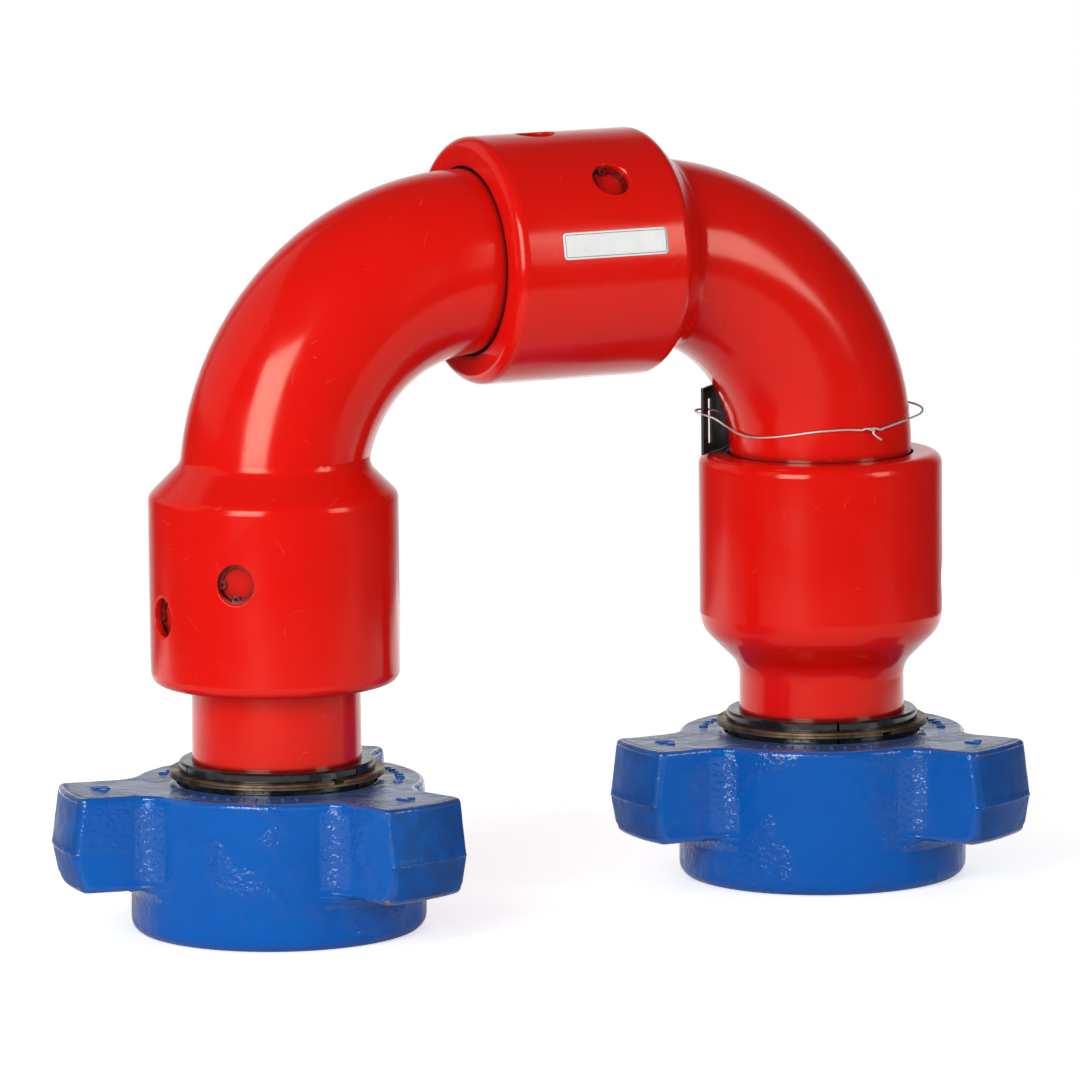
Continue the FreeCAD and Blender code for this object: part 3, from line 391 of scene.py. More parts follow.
def blue_enamel_finish():
    """Glossy blue enamel over rough forging: dusty and with painted sheen on top, dull where struck,
    chipped at edges.
    """
    paint = bpy.context.scene.swivel_enamel
    material, tree, place = new_material("blue_enamel_finish", paint.blue)
    edge = attribute(tree, "Worn edges", "edge")["Fac"]
    root = attribute(tree, "Wing roots", "root")["Fac"]
    ends = attribute(tree, "Struck ends", "struck")["Fac"]
    level = add(tree, "ShaderNodeSeparateXYZ", "Level", {0: place}).outputs["Z"]
    thin = ramp(tree, "Thin coat", cloud(tree, "Coat", place, 0.03, 4.0, 0.6), 0.35, 0.75, 0.0, 0.5)
    facing = add(tree, "ShaderNodeSeparateXYZ", "Facing", {
        0: add(tree, "ShaderNodeNewGeometry", "Surface", {}).outputs["Normal"]}).outputs["Z"]
    # On upward faces a grey film stands for dust and, as painted sheen, for the backdrop's grazing
    # reflection
    film = ramp(tree, "Film patches", cloud(tree, "Film", place, 0.009, 5.0, 0.65), 0.3, 0.7, 0.3, 0.75)
    upward = ramp(tree, "Facing up", facing, 0.8, 0.97)
    film = calculate(tree, "Dust film", "MULTIPLY", film, upward)
    struck = calculate(tree, "Bruised coat", "MULTIPLY", ends, ramp(
        tree, "Bruises", cloud(tree, "Bruise patches", place, 0.012, 4.0), 0.25, 0.65, 0.15, 0.6))
    low_edge = calculate(tree, "Lower edges", "MULTIPLY", edge, ramp(
        tree, "Low on the nut", level, 0.038, 0.05, 1.0, 0.3))
    worn = place_group(tree, worn_spots, "Chips", {
        "Place": place, "Edge": low_edge, "Spread": 0.46, "Spot Size": 0.0034, "Stray": 0.1})
    base = cover(tree, paint.blue, ("Thin blue", thin, paint.blue_thin), ("Dust and sheen", film, DUST_AND_SHEEN),
                 ("Bruises", struck, BRUISE), ("Rust rims", worn["Rim"], paint.rust),
                 ("Bare chips", worn["Chip"], paint.bare))
    skin = skin_height(tree, "Rough forging", place, wave=(0.018, 0.00022), scale=(0.006, 0.00007),
                       peel=(0.0021, 0.000012))
    patches = ramp(tree, "Rough patches", cloud(tree, "Where rough", place, 0.03, 2.0), 0.46, 0.6)
    bends = calculate(tree, "Edges and roots", "MAXIMUM", edge, root)
    wet = calculate(tree, "Thick gloss", "MAXIMUM", ramp(tree, "Gloss of roots", root, 0.3, 1.0), ramp(
        tree, "Gloss of patches", patches, 0.0, 1.0, 0.0, 0.4))
    dulled = calculate(tree, "Dulled faces", "MAXIMUM", upward, ends)
    wet = calculate(tree, "Gloss off dull faces", "MULTIPLY", wet, opposite(tree, "Not dulled", dulled))
    wet = calculate(tree, "Gloss along edges", "MAXIMUM", wet, ramp(
        tree, "Gloss of edges", edge, 0.08, 0.4))
    patches = calculate(tree, "Smooth ends", "MULTIPLY", patches, opposite(tree, "Not struck", ends))
    patches = calculate(tree, "Patches and bends", "MAXIMUM", patches, bends)
    pits = calculate(tree, "Scale in patches", "MULTIPLY", patches, cloud_height(
        tree, "Hammer scale", place, 0.0026, 0.0007, 2.0))
    skin = calculate(tree, "Skin and scale", "ADD", skin, pits)
    skin = calculate(tree, "Chip depth", "SUBTRACT", skin, calculate(
        tree, "Coat thickness", "MULTIPLY", worn["Rim"], 0.00012))
    rough = gloss(tree, cloud(tree, "Gloss patches", place, 0.008, 4.0), 0.1, 0.2)
    rough = add_share(tree, "Dull chips", rough, worn["Rim"], 0.35)
    rough = add_share(tree, "Dull ends", rough, ends, 0.25)
    return surfaced(material, Base_Color=base, Roughness=rough, Specular_IOR_Level=0.22,
                    Specular_Tint=(0.6, 0.85, 1.0), Normal=bump(tree, skin), Coat_Weight=wet,
                    Coat_Roughness=0.05, Coat_Normal=bump(tree, pits))


def black_coat_finish():
    """Glossy black coat of the retainer segments, scuffed by the nut."""
    material, tree, place = new_material("black_coat_finish", (0.01, 0.01, 0.01))
    grey = cloud(tree, "Film", place, 0.009, 4.0)
    lines = scratched(tree, place, length=0.012, width=0.0003, amount=0.8)
    base = cover(tree, (0.008, 0.008, 0.009),
                 ("Film", ramp(tree, "Film patches", grey, 0.5, 0.75), (0.035, 0.033, 0.032)),
                 ("Scuffs", lines, (0.2, 0.19, 0.18)))
    skin = skin_height(tree, "Coat skin", place, wave=(0.012, 0.00003), scale=(0.003, 0.000012),
                       peel=(0.0012, 0.000004))
    return surfaced(material, Base_Color=base, Specular_IOR_Level=0.75, Normal=bump(tree, skin),
                    Roughness=gloss(tree, grey, 0.12, 0.26))


def turned_metal_finish(name, bright, dark, rough, lay=(1.0, 1.0, 1.0)):
    """Worked metal, tarnished in patches, its fine marks squeezed along each axis by lay."""
    material, tree, place = new_material(name, bright)
    stretch = add(tree, "ShaderNodeMapping", "Tool marks", {"Vector": place})
    stretch.inputs["Scale"].default_value = lay
    marks = cloud(tree, "Marks", stretch.outputs[0], 0.0004)
    tarnish = cloud(tree, "Tarnish", place, 0.012, 5.0, 0.6)
    base = cover(tree, bright, ("Tarnish", ramp(tree, "Tarnish patches", tarnish, 0.35, 0.7), dark),
                 ("Marks", ramp(tree, "Marks shown", marks, 0.4, 0.8, 0.0, 0.35), dark))
    rough = add_share(tree, "Dull marks", gloss(tree, tarnish, rough, rough + 0.14), marks, 0.08)
    height = calculate(tree, "Mark depth", "MULTIPLY", marks, 0.000012)
    return surfaced(material, Base_Color=base, Metallic=1.0, Roughness=rough,
                    Normal=bump(tree, height))


def seal_rubber_finish():
    """Matt black rubber with a bloom of dust."""
    material, tree, place = new_material("seal_rubber_finish", (0.02, 0.02, 0.02))
    dust = cloud(tree, "Bloom", place, 0.006, 5.0, 0.65)
    bloom = ramp(tree, "Bloom patches", dust, 0.45, 0.8, 0.0, 0.6)
    base = cover(tree, (0.012, 0.012, 0.013), ("Bloom", bloom, (0.06, 0.057, 0.052)))
    grain = cloud_height(tree, "Grain", place, 0.0006, 0.00002)
    return surfaced(material, Base_Color=base, Normal=bump(tree, grain),
                    Roughness=gloss(tree, dust, 0.5, 0.72))


def tag_black_finish():
    """Satin black paint on the tag's plate, worn grey in fine scratches."""
    material, tree, place = new_material("tag_black_finish", (0.015, 0.015, 0.016))
    lines = scratched(tree, place, length=0.01, width=0.00025, amount=0.7)
    base = cover(tree, (0.014, 0.014, 0.015), ("Scratches", lines, (0.16, 0.155, 0.15)))
    peel = cloud_height(tree, "Peel", place, 0.0015, 0.00001)
    return surfaced(material, Base_Color=base, Normal=bump(tree, peel),
                    Roughness=gloss(tree, cloud(tree, "Gloss patches", place, 0.01), 0.32, 0.5))


def label_film_finish(half_length, half_height):
    """White film with a thin teal frame, faintly soiled and creased."""
    trim = bpy.context.scene.swivel_trim
    white = (0.8, 0.8, 0.79)
    material, tree, place = new_material("label_film_finish", white)
    spot = attribute(tree, "Place on the label", "label_place")["Vector"]
    parts = add(tree, "ShaderNodeSeparateXYZ", "Across and up", {"Vector": spot})
    frame_round = trim.label_round - trim.frame_inset
    beyond = []
    corner = []
    for axis, half in (("X", half_length), ("Y", half_height)):
        out = calculate(tree, "From the middle", "ABSOLUTE", parts.outputs[axis])
        out = calculate(tree, "Beyond the corner's centre", "SUBTRACT", out, half - trim.label_round)
        beyond.append(out)
        out = calculate(tree, "Outside only", "MAXIMUM", out, 0.0)
        corner.append(calculate(tree, "Squared", "MULTIPLY", out, out))
    reach = calculate(tree, "Corner reach", "SQRT", calculate(tree, "Sum", "ADD", *corner))
    inside = calculate(tree, "Inside only", "MINIMUM", calculate(
        tree, "Nearer side", "MAXIMUM", *beyond), 0.0)
    edge = calculate(tree, "Signed reach", "ADD", reach, inside)
    off_line = calculate(tree, "Off the line", "ABSOLUTE", calculate(
        tree, "From the line", "SUBTRACT", edge, frame_round))
    line = ramp(tree, "Printed line", off_line, trim.frame_width * 0.4, trim.frame_width * 0.6, 1.0, 0.0)
    soil = ramp(tree, "Soil", cloud(tree, "Soiling", place, 0.008, 5.0, 0.6), 0.5, 0.8, 0.0, 0.25)
    base = cover(tree, white, ("Soil", soil, (0.5, 0.46, 0.42)), ("Printed line", line, TEAL))
    crease = cloud_height(tree, "Creases", place, 0.012, 0.00012)
    return surfaced(material, Base_Color=base, Normal=bump(tree, crease),
                    Roughness=gloss(tree, cloud(tree, "Gloss patches", place, 0.01), 0.26, 0.4))


def dress(material, *nodes):
    """Gives CAD nodes a finish."""
    for node in nodes:
        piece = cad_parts[node]
        for slot in piece.material_slots:
            slot.material = material


# Mesh helpers


def new_piece(name, points, faces, material):
    """Smooth mesh object of points in metres, with its finish."""
    mesh = bpy.data.meshes.new(name)
    mesh.from_pydata(points, [], faces)
    mesh.validate()
    mesh.shade_smooth()
    mesh.materials.append(material)
    piece = bpy.data.objects.new(name, mesh)
    bpy.context.collection.objects.link(piece)
    return piece


def ring_faces(rows, columns, closed_rows):
    """Quads between rows of points, each row a closed ring, and the rows one too if told."""
    faces = []
    for row in range(rows if closed_rows else rows - 1):
        here = row * columns
        above = (row + 1) % rows * columns
        for column in range(columns):
            after = (column + 1) % columns
            faces.append((here + column, here + after, above + after, above + column))
    return faces


def closed_faces(rows, columns):
    """Faces of a solid of rows, each row a closed ring, with its two ends."""
    last = (rows - 1) * columns
    return [*ring_faces(rows, columns, False), tuple(reversed(range(columns))),
            tuple(range(last, last + columns))]


def quarter(steps):
    """Sine and cosine along a quarter turn, ends included."""
    turns = [math.pi / 2 * step / steps for step in range(steps + 1)]
    return [(math.sin(turn), math.cos(turn)) for turn in turns]


def between(first, last, steps):
    """Even steps between two values, without the ends."""
    return [first + (last - first) * step / steps for step in range(1, steps)]


def limited(value):
    """Value kept from 0 to 1."""
    return min(1.0, max(0.0, value))


def direction(turn):
    """Way that a turn points, in plan."""
    return Vector((math.cos(turn), math.sin(turn)))


def tube_piece(name, path, radius, material):
    """Closed round tube along a path of points."""
    sides = 10
    points = []
    side = Vector((0, 0, 1))
    for number, spot in enumerate(path):
        before = path[max(number - 1, 0)]
        after = path[min(number + 1, len(path) - 1)]
        way = (after - before).normalized()
        side = (side - way * side.dot(way)).normalized()
        across = way.cross(side)
        for turn in range(sides):
            around = 2 * math.pi * turn / sides
            points.append(spot + (side * math.cos(around) + across * math.sin(around)) * radius)
    return new_piece(name, points, closed_faces(len(path), sides), material)


def smooth_path(spots, steps):
    """Points along a smooth curve through the spots."""
    path = []
    padded = [spots[0] * 2 - spots[1], *spots, spots[-1] * 2 - spots[-2]]
    for a, b, c, d in zip(padded, padded[1:], padded[2:], padded[3:]):
        for step in range(steps):
            t = step / steps
            path.append((b * 2 + (c - a) * t + (a * 2 - b * 5 + c * 4 - d) * t ** 2
                         + (b * 3 - a - c * 3 + d) * t ** 3) / 2)
    return path + [spots[-1]]


# Wing nut

# Foot of the flash on each side of the parting line, in heights of the flash
FLASH_SPREAD = 3


def wing_plan(nut, reach, half):
    """Plan of the nut with its wings: points and outward directions, anticlockwise."""
    end_steps, corner_steps, side_steps, root_steps, body_steps = 12, 7, 13, 10, 15
    corner = nut.wing_corner
    corner_y = half - corner
    corner_x = math.sqrt((reach - corner) ** 2 - corner_y ** 2)
    root_y = half + nut.wing_root
    root_x = math.sqrt((nut.radius + nut.wing_root) ** 2 - root_y ** 2)
    end_turn = math.atan2(corner_y, corner_x)
    body_turn = math.atan2(root_y, root_x)
    side = []

    def arc(x, y, radius, start, stop, steps, facing=1):
        for step in range(steps):
            turn = start + (stop - start) * step / steps
            way = direction(turn)
            side.append((Vector((x, y)) + way * radius, way * facing))

    arc(0, 0, reach, 0, end_turn, end_steps)
    arc(corner_x, corner_y, corner, end_turn, math.pi / 2, corner_steps)
    for step in range(side_steps):
        share = step / side_steps
        side.append((Vector((corner_x + (root_x - corner_x) * share, half)), Vector((0, 1))))
    arc(root_x, root_y, nut.wing_root, -math.pi / 2, body_turn - math.pi, root_steps, -1)
    arc(0, 0, nut.radius, body_turn, math.pi / 3, body_steps)
    gap = direction(math.pi / 3)
    side.append((gap * nut.radius, gap))
    mirrored = [(Vector((p.x, -p.y)), Vector((n.x, -n.y))) for p, n in side]
    third = mirrored[:0:-1] + side[:-1]
    plan = []
    for wing in range(3):
        turn = Matrix.Rotation(wing * math.pi * 2 / 3, 2)
        plan += [(turn @ p, turn @ n) for p, n in third]
    return plan


def drafted_plan(nut, height):
    """Plan of the nut at a height, its wings drawn in away from the parting line."""
    above = max(height - nut.parting, 0) / (nut.height - nut.parting)
    below = max(nut.parting - height, 0) / (nut.parting - nut.wing_bottom)
    draft = above + below
    flash = nut.flash * max(0.0, 1 - abs(height - nut.parting) / (FLASH_SPREAD * nut.flash))
    return wing_plan(nut, nut.wing_reach - nut.flash - nut.end_draft * draft + flash,
                     nut.wing_half)


def level_row(points, height):
    return [Vector((point.x, point.y, height)) for point in points]


def underside_rows(nut, ways):
    """Rows from the nut's wall out under the wings and round their lower edges."""
    root, edge, bottom = nut.under_root, nut.under_edge, nut.wing_bottom
    parts = []
    for (point, outward), body_way in zip(drafted_plan(nut, bottom), ways):
        wall = body_way * nut.radius
        standing = min(1.0, (point - wall).length / (root + edge))
        lip = point - outward * edge * standing
        parts.append((outward, wall, lip, standing))
    rows = []
    round_steps, flat_steps = 6, 9
    flat_end = round_steps + flat_steps
    steps = flat_end + round_steps
    for step in range(steps + 1):
        level = bottom - root + (root + edge) * step / steps
        row = []
        for outward, wall, lip, standing in parts:
            run = (lip - wall).length
            way = (lip - wall).normalized() if run > 0 else outward
            small = root * standing
            if step <= round_steps:
                turn = math.pi / 2 * step / round_steps
                spot = wall + way * min(small, run) * (1 - math.cos(turn))
                height = bottom - small * (1 - math.sin(turn))
            elif step <= flat_end:
                begin = wall + way * min(small, run)
                spot = begin.lerp(lip, (step - round_steps) / flat_steps)
                height = bottom
            else:
                turn = math.pi / 2 * (step - flat_end) / round_steps
                spot = lip + outward * edge * standing * math.sin(turn)
                height = bottom + edge * standing * (1 - math.cos(turn))
            row.append(Vector((spot.x, spot.y, height * standing + level * (1 - standing))))
        rows.append(row)
    return rows


def thread_rows(nut, turns):
    """Rows down the thread, from its runout to its mouth."""
    rows = []
    steps = 44
    flank_slope, flank_start = 2.6, 0.85
    for step in range(steps + 1):
        height = nut.thread_top + (nut.lead - nut.thread_top) * step / steps
        runout = min(1.0, (nut.thread_top - height) / nut.thread_pitch)
        row = []
        for turn in turns:
            phase = (height / nut.thread_pitch - turn / (2 * math.pi)) % 1.0
            groove = limited(flank_slope * abs(2 * phase - 1) - flank_start)
            radius = nut.thread + nut.thread_depth * groove * runout
            row.append(Vector((math.cos(turn) * radius, math.sin(turn) * radius, height)))
        rows.append(row)
    return rows


def wing_nut_rows(nut):
    """Rows up the nut's outside from the thread's mouth and down its inside, and the numbers
    of the first and last rows that show the forging."""
    ways = [point.normalized() for point, outward in drafted_plan(nut, nut.parting)]
    turns = [math.atan2(way.y, way.x) for way in ways]

    def circle(radius, height):
        return level_row([way * radius for way in ways], height)

    mouth = nut.thread + nut.lead
    flat = nut.radius - nut.low_round
    rows = [circle(radius, 0) for radius in (mouth, *between(mouth, flat, 4))]
    rows += [circle(flat + nut.low_round * sine, nut.low_round * (1 - cosine))
             for sine, cosine in quarter(7)]
    rough_rows = 5
    first = len(rows) - rough_rows
    rows += [circle(nut.radius, height)
             for height in between(nut.low_round, nut.wing_bottom - nut.under_root, 7)]
    rows += underside_rows(nut, ways)
    low = nut.wing_bottom + nut.under_edge
    high = nut.height - nut.top_round
    clear = (FLASH_SPREAD + 1) * nut.flash
    heights = between(low, nut.parting - clear, 8)
    heights += [nut.parting + nut.flash * step for step in range(-FLASH_SPREAD, FLASH_SPREAD + 1)]
    heights += between(nut.parting + clear, high, 12)
    rows += [level_row([point for point, outward in drafted_plan(nut, height)], height)
             for height in heights]
    top = drafted_plan(nut, high)
    for sine, cosine in quarter(6):
        inward = nut.top_round * (1 - cosine)
        rows.append(level_row([point - outward * inward for point, outward in top],
                              high + nut.top_round * sine))
    rim = rows[-1]
    edge = circle(nut.bore + nut.bore_edge, nut.height)
    rows += [[outer.lerp(inner, share) for outer, inner in zip(rim, edge)]
             for share in between(0, 1, 17)]
    last = len(rows) - 1
    rows.append(edge)
    rows += [circle(nut.bore, height)
             for height in (nut.height - nut.bore_edge,
                            *between(nut.height - nut.bore_edge, nut.shoulder, 9), nut.shoulder)]
    slope = nut.relief - nut.bore
    rows += [circle(nut.bore + share, nut.shoulder - share)
             for share in (*between(0, slope, 5), slope)]
    runout = nut.thread_top + nut.relief - nut.thread
    rows += [circle(nut.relief, height) for height in between(nut.shoulder - slope, runout, 3)]
    rows.append(circle(nut.relief, runout))
    rows += thread_rows(nut, turns)
    return rows, first, last


def forge(spot, depth, seed):
    """How far the forging's skin lies below its nominal shape at a spot."""
    wave_size, dent_size = 17.0, 6.0
    mean, wave_share, dent_share = 0.5, 0.4, 0.22
    place = spot / MM + Vector((seed, seed, 0))
    waves = noise.noise(place / wave_size)
    dents = noise.noise(place / dent_size)
    return depth * (mean + wave_share * waves + dent_share * dents)


def wear_of(points, faces, normals):
    """How strongly each point stands on an outer edge, and in an inner one, from 0 to 1."""
    edge_from, edge_range = 40, 160
    root_from, root_range = 6, 18
    shortest = 1e-12
    bend = [0.0] * len(points)
    count = [0] * len(points)
    for face in faces:
        for first, second in zip(face, face[1:] + face[:1]):
            step = points[second] - points[first]
            if step.length_squared > shortest:
                turn = (normals[second] - normals[first]).dot(step) / step.length_squared
                for end in (first, second):
                    bend[end] += turn
                    count[end] += 1
    mean = [total / max(number, 1) for total, number in zip(bend, count)]
    edge = [limited((value - edge_from) / edge_range) for value in mean]
    root = [limited((-value - root_from) / root_range) for value in mean]
    return edge, root


def wing_nut_piece(side, turn, material):
    """Forged nut as one closed skin, uneven outside and marked for wear; returns its place."""
    nut = bpy.context.scene.swivel_nut
    rows, first, last = wing_nut_rows(nut)
    columns = len(rows[0])
    faces = ring_faces(len(rows), columns, True)
    points = [point for row in rows for point in row]
    trial = bpy.data.meshes.new("trial")
    trial.from_pydata(points, [], faces)
    outward = [vertex.normal.copy() for vertex in trial.vertices]
    bpy.data.meshes.remove(trial)
    edge, root = wear_of(points, faces, outward)
    end_depth, end_fade, round_slack = 0.003, 0.002, 0.006
    struck = []
    for row in rows:
        reach = max(point.xy.length for point in row)
        on_wing = 1.0 if reach > nut.wing_reach - nut.end_draft - round_slack else 0.0
        struck += [on_wing * limited((point.xy.length - reach + end_depth) / end_fade)
                   for point in row]
    seed = {"left": 40.0, "right": 90.0}[side]
    for number in range(first * columns, last * columns):
        points[number] = points[number] - outward[number] * forge(points[number], nut.skin, seed)
    middle = box_middle(side + "_retaining_ring")
    place = Matrix.Translation((middle.x, middle.y, 0)) @ Matrix.Rotation(turn, 4, "Z")
    points = [place @ point for point in points]
    piece = new_piece(side + "_forged_wing_nut", points, faces, material)
    for name, values in (("edge", edge), ("struck", struck), ("root", root)):
        marks = piece.data.attributes.new(name, "FLOAT", "POINT")
        marks.data.foreach_set("value", values)
    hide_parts(side + "_wing_nut")
    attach(piece, side + "_nut")
    return place


def raised_mark(outline, place, height):
    """Points and faces of a low raised mark with a soft top, sunk a little into its carrier."""
    levels = ((-0.1, -0.4), (0.0, 0.35), (0.1, 0.75), (0.3, 1.0))
    middle = sum(outline, Vector((0, 0))) / len(outline)
    points = []
    for inset, level in levels:
        for spot in outline:
            point = spot.lerp(middle, inset)
            points.append(place @ Vector((point.x, point.y, level * height)))
    return points, closed_faces(len(levels), len(outline))


def bar_outline(x, y, half_length, half_width, turn=0.0):
    """Rounded bar about a spot, anticlockwise."""
    steps = 6
    outline = []
    for end in (0, 1):
        for step in range(steps + 1):
            around = turn + math.pi * end - math.pi / 2 + math.pi * step / steps
            centre = Vector((x, y)) + direction(turn) * (half_length - half_width) * (1 - 2 * end)
            outline.append(centre + direction(around) * half_width)
    return outline


def nut_marks_piece(side, place, material):
    """Raised bars round the nut's top and on the flat of each wing, as such forgings carry."""
    nut = bpy.context.scene.swivel_nut
    height = bpy.context.scene.swivel_trim.mark_height
    half_width = 0.0011
    wing_reach, bar_places, bar_half = 0.101, (-0.008, -0.004, 0.0), 0.0052
    dot_place, dot_half, dot_half_width = 0.0062, 0.0024, 0.0023
    arc_reach, arc_halves = 0.0688, (2.6, 1.6, 2.6, 2.6, 1.3, 2.2, 2.6, 1.6, 2.6)
    gap_turn, bar_turn = math.radians(60), math.radians(6.4)
    flat = [bar_outline(wing_reach, place_y, bar_half, half_width) for place_y in bar_places]
    flat.append(bar_outline(wing_reach, dot_place, dot_half, dot_half_width))
    arc = []
    for number, half in enumerate(arc_halves):
        turn = gap_turn + bar_turn * (number - len(arc_halves) // 2)
        middle = direction(turn) * arc_reach
        arc.append(bar_outline(middle.x, middle.y, half * MM, half_width, turn))
    points = []
    faces = []
    for wing in range(3):
        turn = Matrix.Rotation(wing * math.pi * 2 / 3, 4, "Z")
        lift = Matrix.Translation((0, 0, nut.height - nut.skin * 0.5))
        for outline in flat[wing:] + arc:
            more, sides = raised_mark(outline, place @ turn @ lift, height)
            faces += [tuple(number + len(points) for number in face) for face in sides]
            points += more
    piece = new_piece(side + "_nut_marks", points, faces, material)
    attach(piece, side + "_nut")


# Label


def label_piece():
    """Printed film with round corners, bent round the top collar."""
    trim = bpy.context.scene.swivel_trim
    low, high = (Vector(corner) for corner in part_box("label"))
    axis = box_middle("top_packing")
    thickness, back_lift = 0.0002, 0.00001
    radius = math.hypot(low.y, low.z - axis.z) - thickness
    turn_low = math.asin((low.z - axis.z) / radius)
    turn_high = math.asin((high.z - axis.z) / (radius + thickness))
    half_length = (high.x - low.x) / 2
    half_height = radius * (turn_high - turn_low) / 2
    middle_turn = (turn_low + turn_high) / 2
    middle_x = (low.x + high.x) / 2
    corner = trim.label_round
    levels = [half_height - corner * (1 - sine) for sine, cosine in quarter(6)]
    levels = [-level for level in reversed(levels)] + between(
        corner - half_height, half_height - corner, 10) + levels
    shares = [-1, *between(-1, 1, 40), 1]
    front = [(radius + thickness, share) for share in shares]
    back = [(radius + back_lift, share) for share in reversed(shares)]
    points = []
    spots = []
    for level in levels:
        beyond = max(0.0, abs(level) - (half_height - corner))
        half = half_length - corner + math.sqrt(max(0.0, corner ** 2 - beyond ** 2))
        turn = middle_turn + level / radius
        for reach, share in front + back:
            points.append((middle_x + half * share, -reach * math.cos(turn),
                           axis.z + reach * math.sin(turn)))
            spots.append((half * share, level, 0.0))
    faces = closed_faces(len(levels), len(front + back))
    film = label_film_finish(half_length, half_height)
    piece = new_piece("collar_label", points, faces, film)
    marks = piece.data.attributes.new("label_place", "FLOAT_VECTOR", "POINT")
    marks.data.foreach_set("vector", [value for spot in spots for value in spot])
    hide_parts("label")
    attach(piece, "right_elbow")


# Tie wire


def tie_wire_piece(material):
    """Steel wire round the outlet elbow and through the tag's slot, its ends twisted in front."""
    leg = box_middle("right_retaining_ring")
    radius = bpy.context.scene.swivel_trim.wire_radius

    def spot(turn, reach, height):
        """Spot by its direction round the leg in degrees, and millimetres out and up."""
        return Vector((*(leg.xy + direction(math.radians(turn)) * reach * MM), height * MM))

    hook = [(-80.5, 57.2, 257.6), (-82.0, 56.6, 258.6), (-84.6, 55.0, 261.2)]
    round_front = [(-102, 53.6, 264.2), (-112, 53.5, 263.9), (-121, 53.6, 263.3), (-140, 53.7, 260.6),
                   (-158, 53.9, 258.6), (-174, 54.6, 259.0), (-188, 56.6, 262.0), (-194, 62.5, 266.4),
                   (-195.6, 70.2, 269.2)]
    round_tag = [(-197.4, 72.6, 270.6), (-200.0, 70.4, 271.0), (-203.2, 65.8, 270.6),
                 (-204.6, 61.8, 269.8), (-207.5, 57.8, 268.4)]
    round_back = [(-216, 54.4, 266.0), (-235, 53.8, 264.8), (-262, 53.7, 265.8), (-290, 53.7, 267.4),
                  (-318, 53.8, 268.6), (-345, 54.6, 269.4), (-363, 57.0, 269.8), (-378, 59.2, 268.8),
                  (-392, 58.0, 267.4), (-408, 54.8, 266.3)]
    twist_start, twist_end = -76.0, -92.0
    twist_reach, twist_height, strand_offset = 54.6, 263.6, 0.64
    twist_turns, twist_steps = 1.5, 12
    hook_step, stub_step = 6, 8

    def strand(phase, first, last):
        """Spots along one of the two strands that are twisted together."""
        spots = []
        for step in range(first, last + 1):
            share = step / twist_steps
            around = phase + 2 * math.pi * twist_turns * share
            spots.append((twist_start + (twist_end - twist_start) * share,
                          twist_reach + strand_offset * math.cos(around),
                          twist_height + strand_offset * math.sin(around)))
        return spots

    loop = hook + strand(0.0, hook_step, twist_steps) + round_front + round_tag + round_back
    loop += strand(math.pi, 0, stub_step) + [(-88.2, 56.4, 264.6)]
    path = smooth_path([spot(*step) for step in loop], 5)
    piece = tube_piece("steel_tie_wire", path, radius, material)
    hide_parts("tie_wire")
    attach(piece, "right_elbow")


# Operators


def finish(make, *values):
    """The finish that a function makes, built once and then shared."""
    title = values[0] if values else make.__name__
    return bpy.data.materials.get(title) or make(*values)


class SWIVEL_OT_forgings(bpy.types.Operator):
    """Paint the stem, elbows and right body in red enamel"""
    bl_idname = "swivel.forgings"
    bl_label = "Paint Forgings"

    def execute(self, context):
        # Both reds carry painted shade in their crevices; the ball plugs' copy reaches further and
        # darker, to make their ports look sunk in shadow
        red = finish(red_enamel_finish, "red_enamel_finish", 0.011, 0.44, 0.72)
        port_shaded_red = finish(red_enamel_finish, "port_shaded_enamel_finish", 0.016, 0.25, 0.9)
        dress(red, "left_stem", "left_elbow", "right_elbow", "right_body")
        for side in SWIVELS:
            dress(port_shaded_red, side + "_ball_plugs")
        return {"FINISHED"}


class SWIVEL_OT_swivels(bpy.types.Operator):
    """Finish the balls, seals, snap rings and grease fittings of the swivels"""
    bl_idname = "swivel.swivels"
    bl_label = "Finish Swivels"

    def execute(self, context):
        ball = finish(turned_metal_finish, "ball_steel_finish", (0.55, 0.55, 0.54),
                      (0.3, 0.28, 0.25), 0.12)
        steel = finish(turned_metal_finish, "fitting_steel_finish", (0.5, 0.49, 0.46),
                       (0.26, 0.23, 0.19), 0.28)
        brass = finish(turned_metal_finish, "backup_brass_finish", (0.62, 0.42, 0.16),
                       (0.3, 0.18, 0.07), 0.26, (1.0, 1.0, 6.0))
        spring = finish(overpainted_steel_finish)
        rubber = finish(seal_rubber_finish)
        for side in SWIVELS:
            dress(ball, *(side + "_ball_row_" + number for number in "123"))
            dress(spring, side + "_snap_rings")
            dress(steel, side + "_grease_fitting")
            dress(brass, side + "_backup_ring")
            dress(rubber, side + "_packing", side + "_mouth_seal")
        return {"FINISHED"}


class SWIVEL_OT_retainers(bpy.types.Operator):
    """Finish the black segments and bronze rings that hold the nuts"""
    bl_idname = "swivel.retainers"
    bl_label = "Finish Retainers"

    def execute(self, context):
        black = finish(black_coat_finish)
        bronze = finish(turned_metal_finish, "bronze_finish", (0.36, 0.27, 0.17),
                        (0.12, 0.085, 0.055), 0.3, (1.0, 1.0, 8.0))
        for side in SIDES:
            dress(black, *(side + "_segment_" + number for number in "123"))
            dress(bronze, side + "_retaining_ring")
        return {"FINISHED"}


class SWIVEL_OT_wing_nuts(bpy.types.Operator):
    """Forge the two wing nuts and their raised marks"""
    bl_idname = "swivel.wing_nuts"
    bl_label = "Forge Wing Nuts"

    def execute(self, context):
        nut = context.scene.swivel_nut
        blue = finish(blue_enamel_finish)
        for side, turn in (("left", nut.left_turn), ("right", nut.right_turn)):
            nut_marks_piece(side, wing_nut_piece(side, turn, blue), blue)
        return {"FINISHED"}


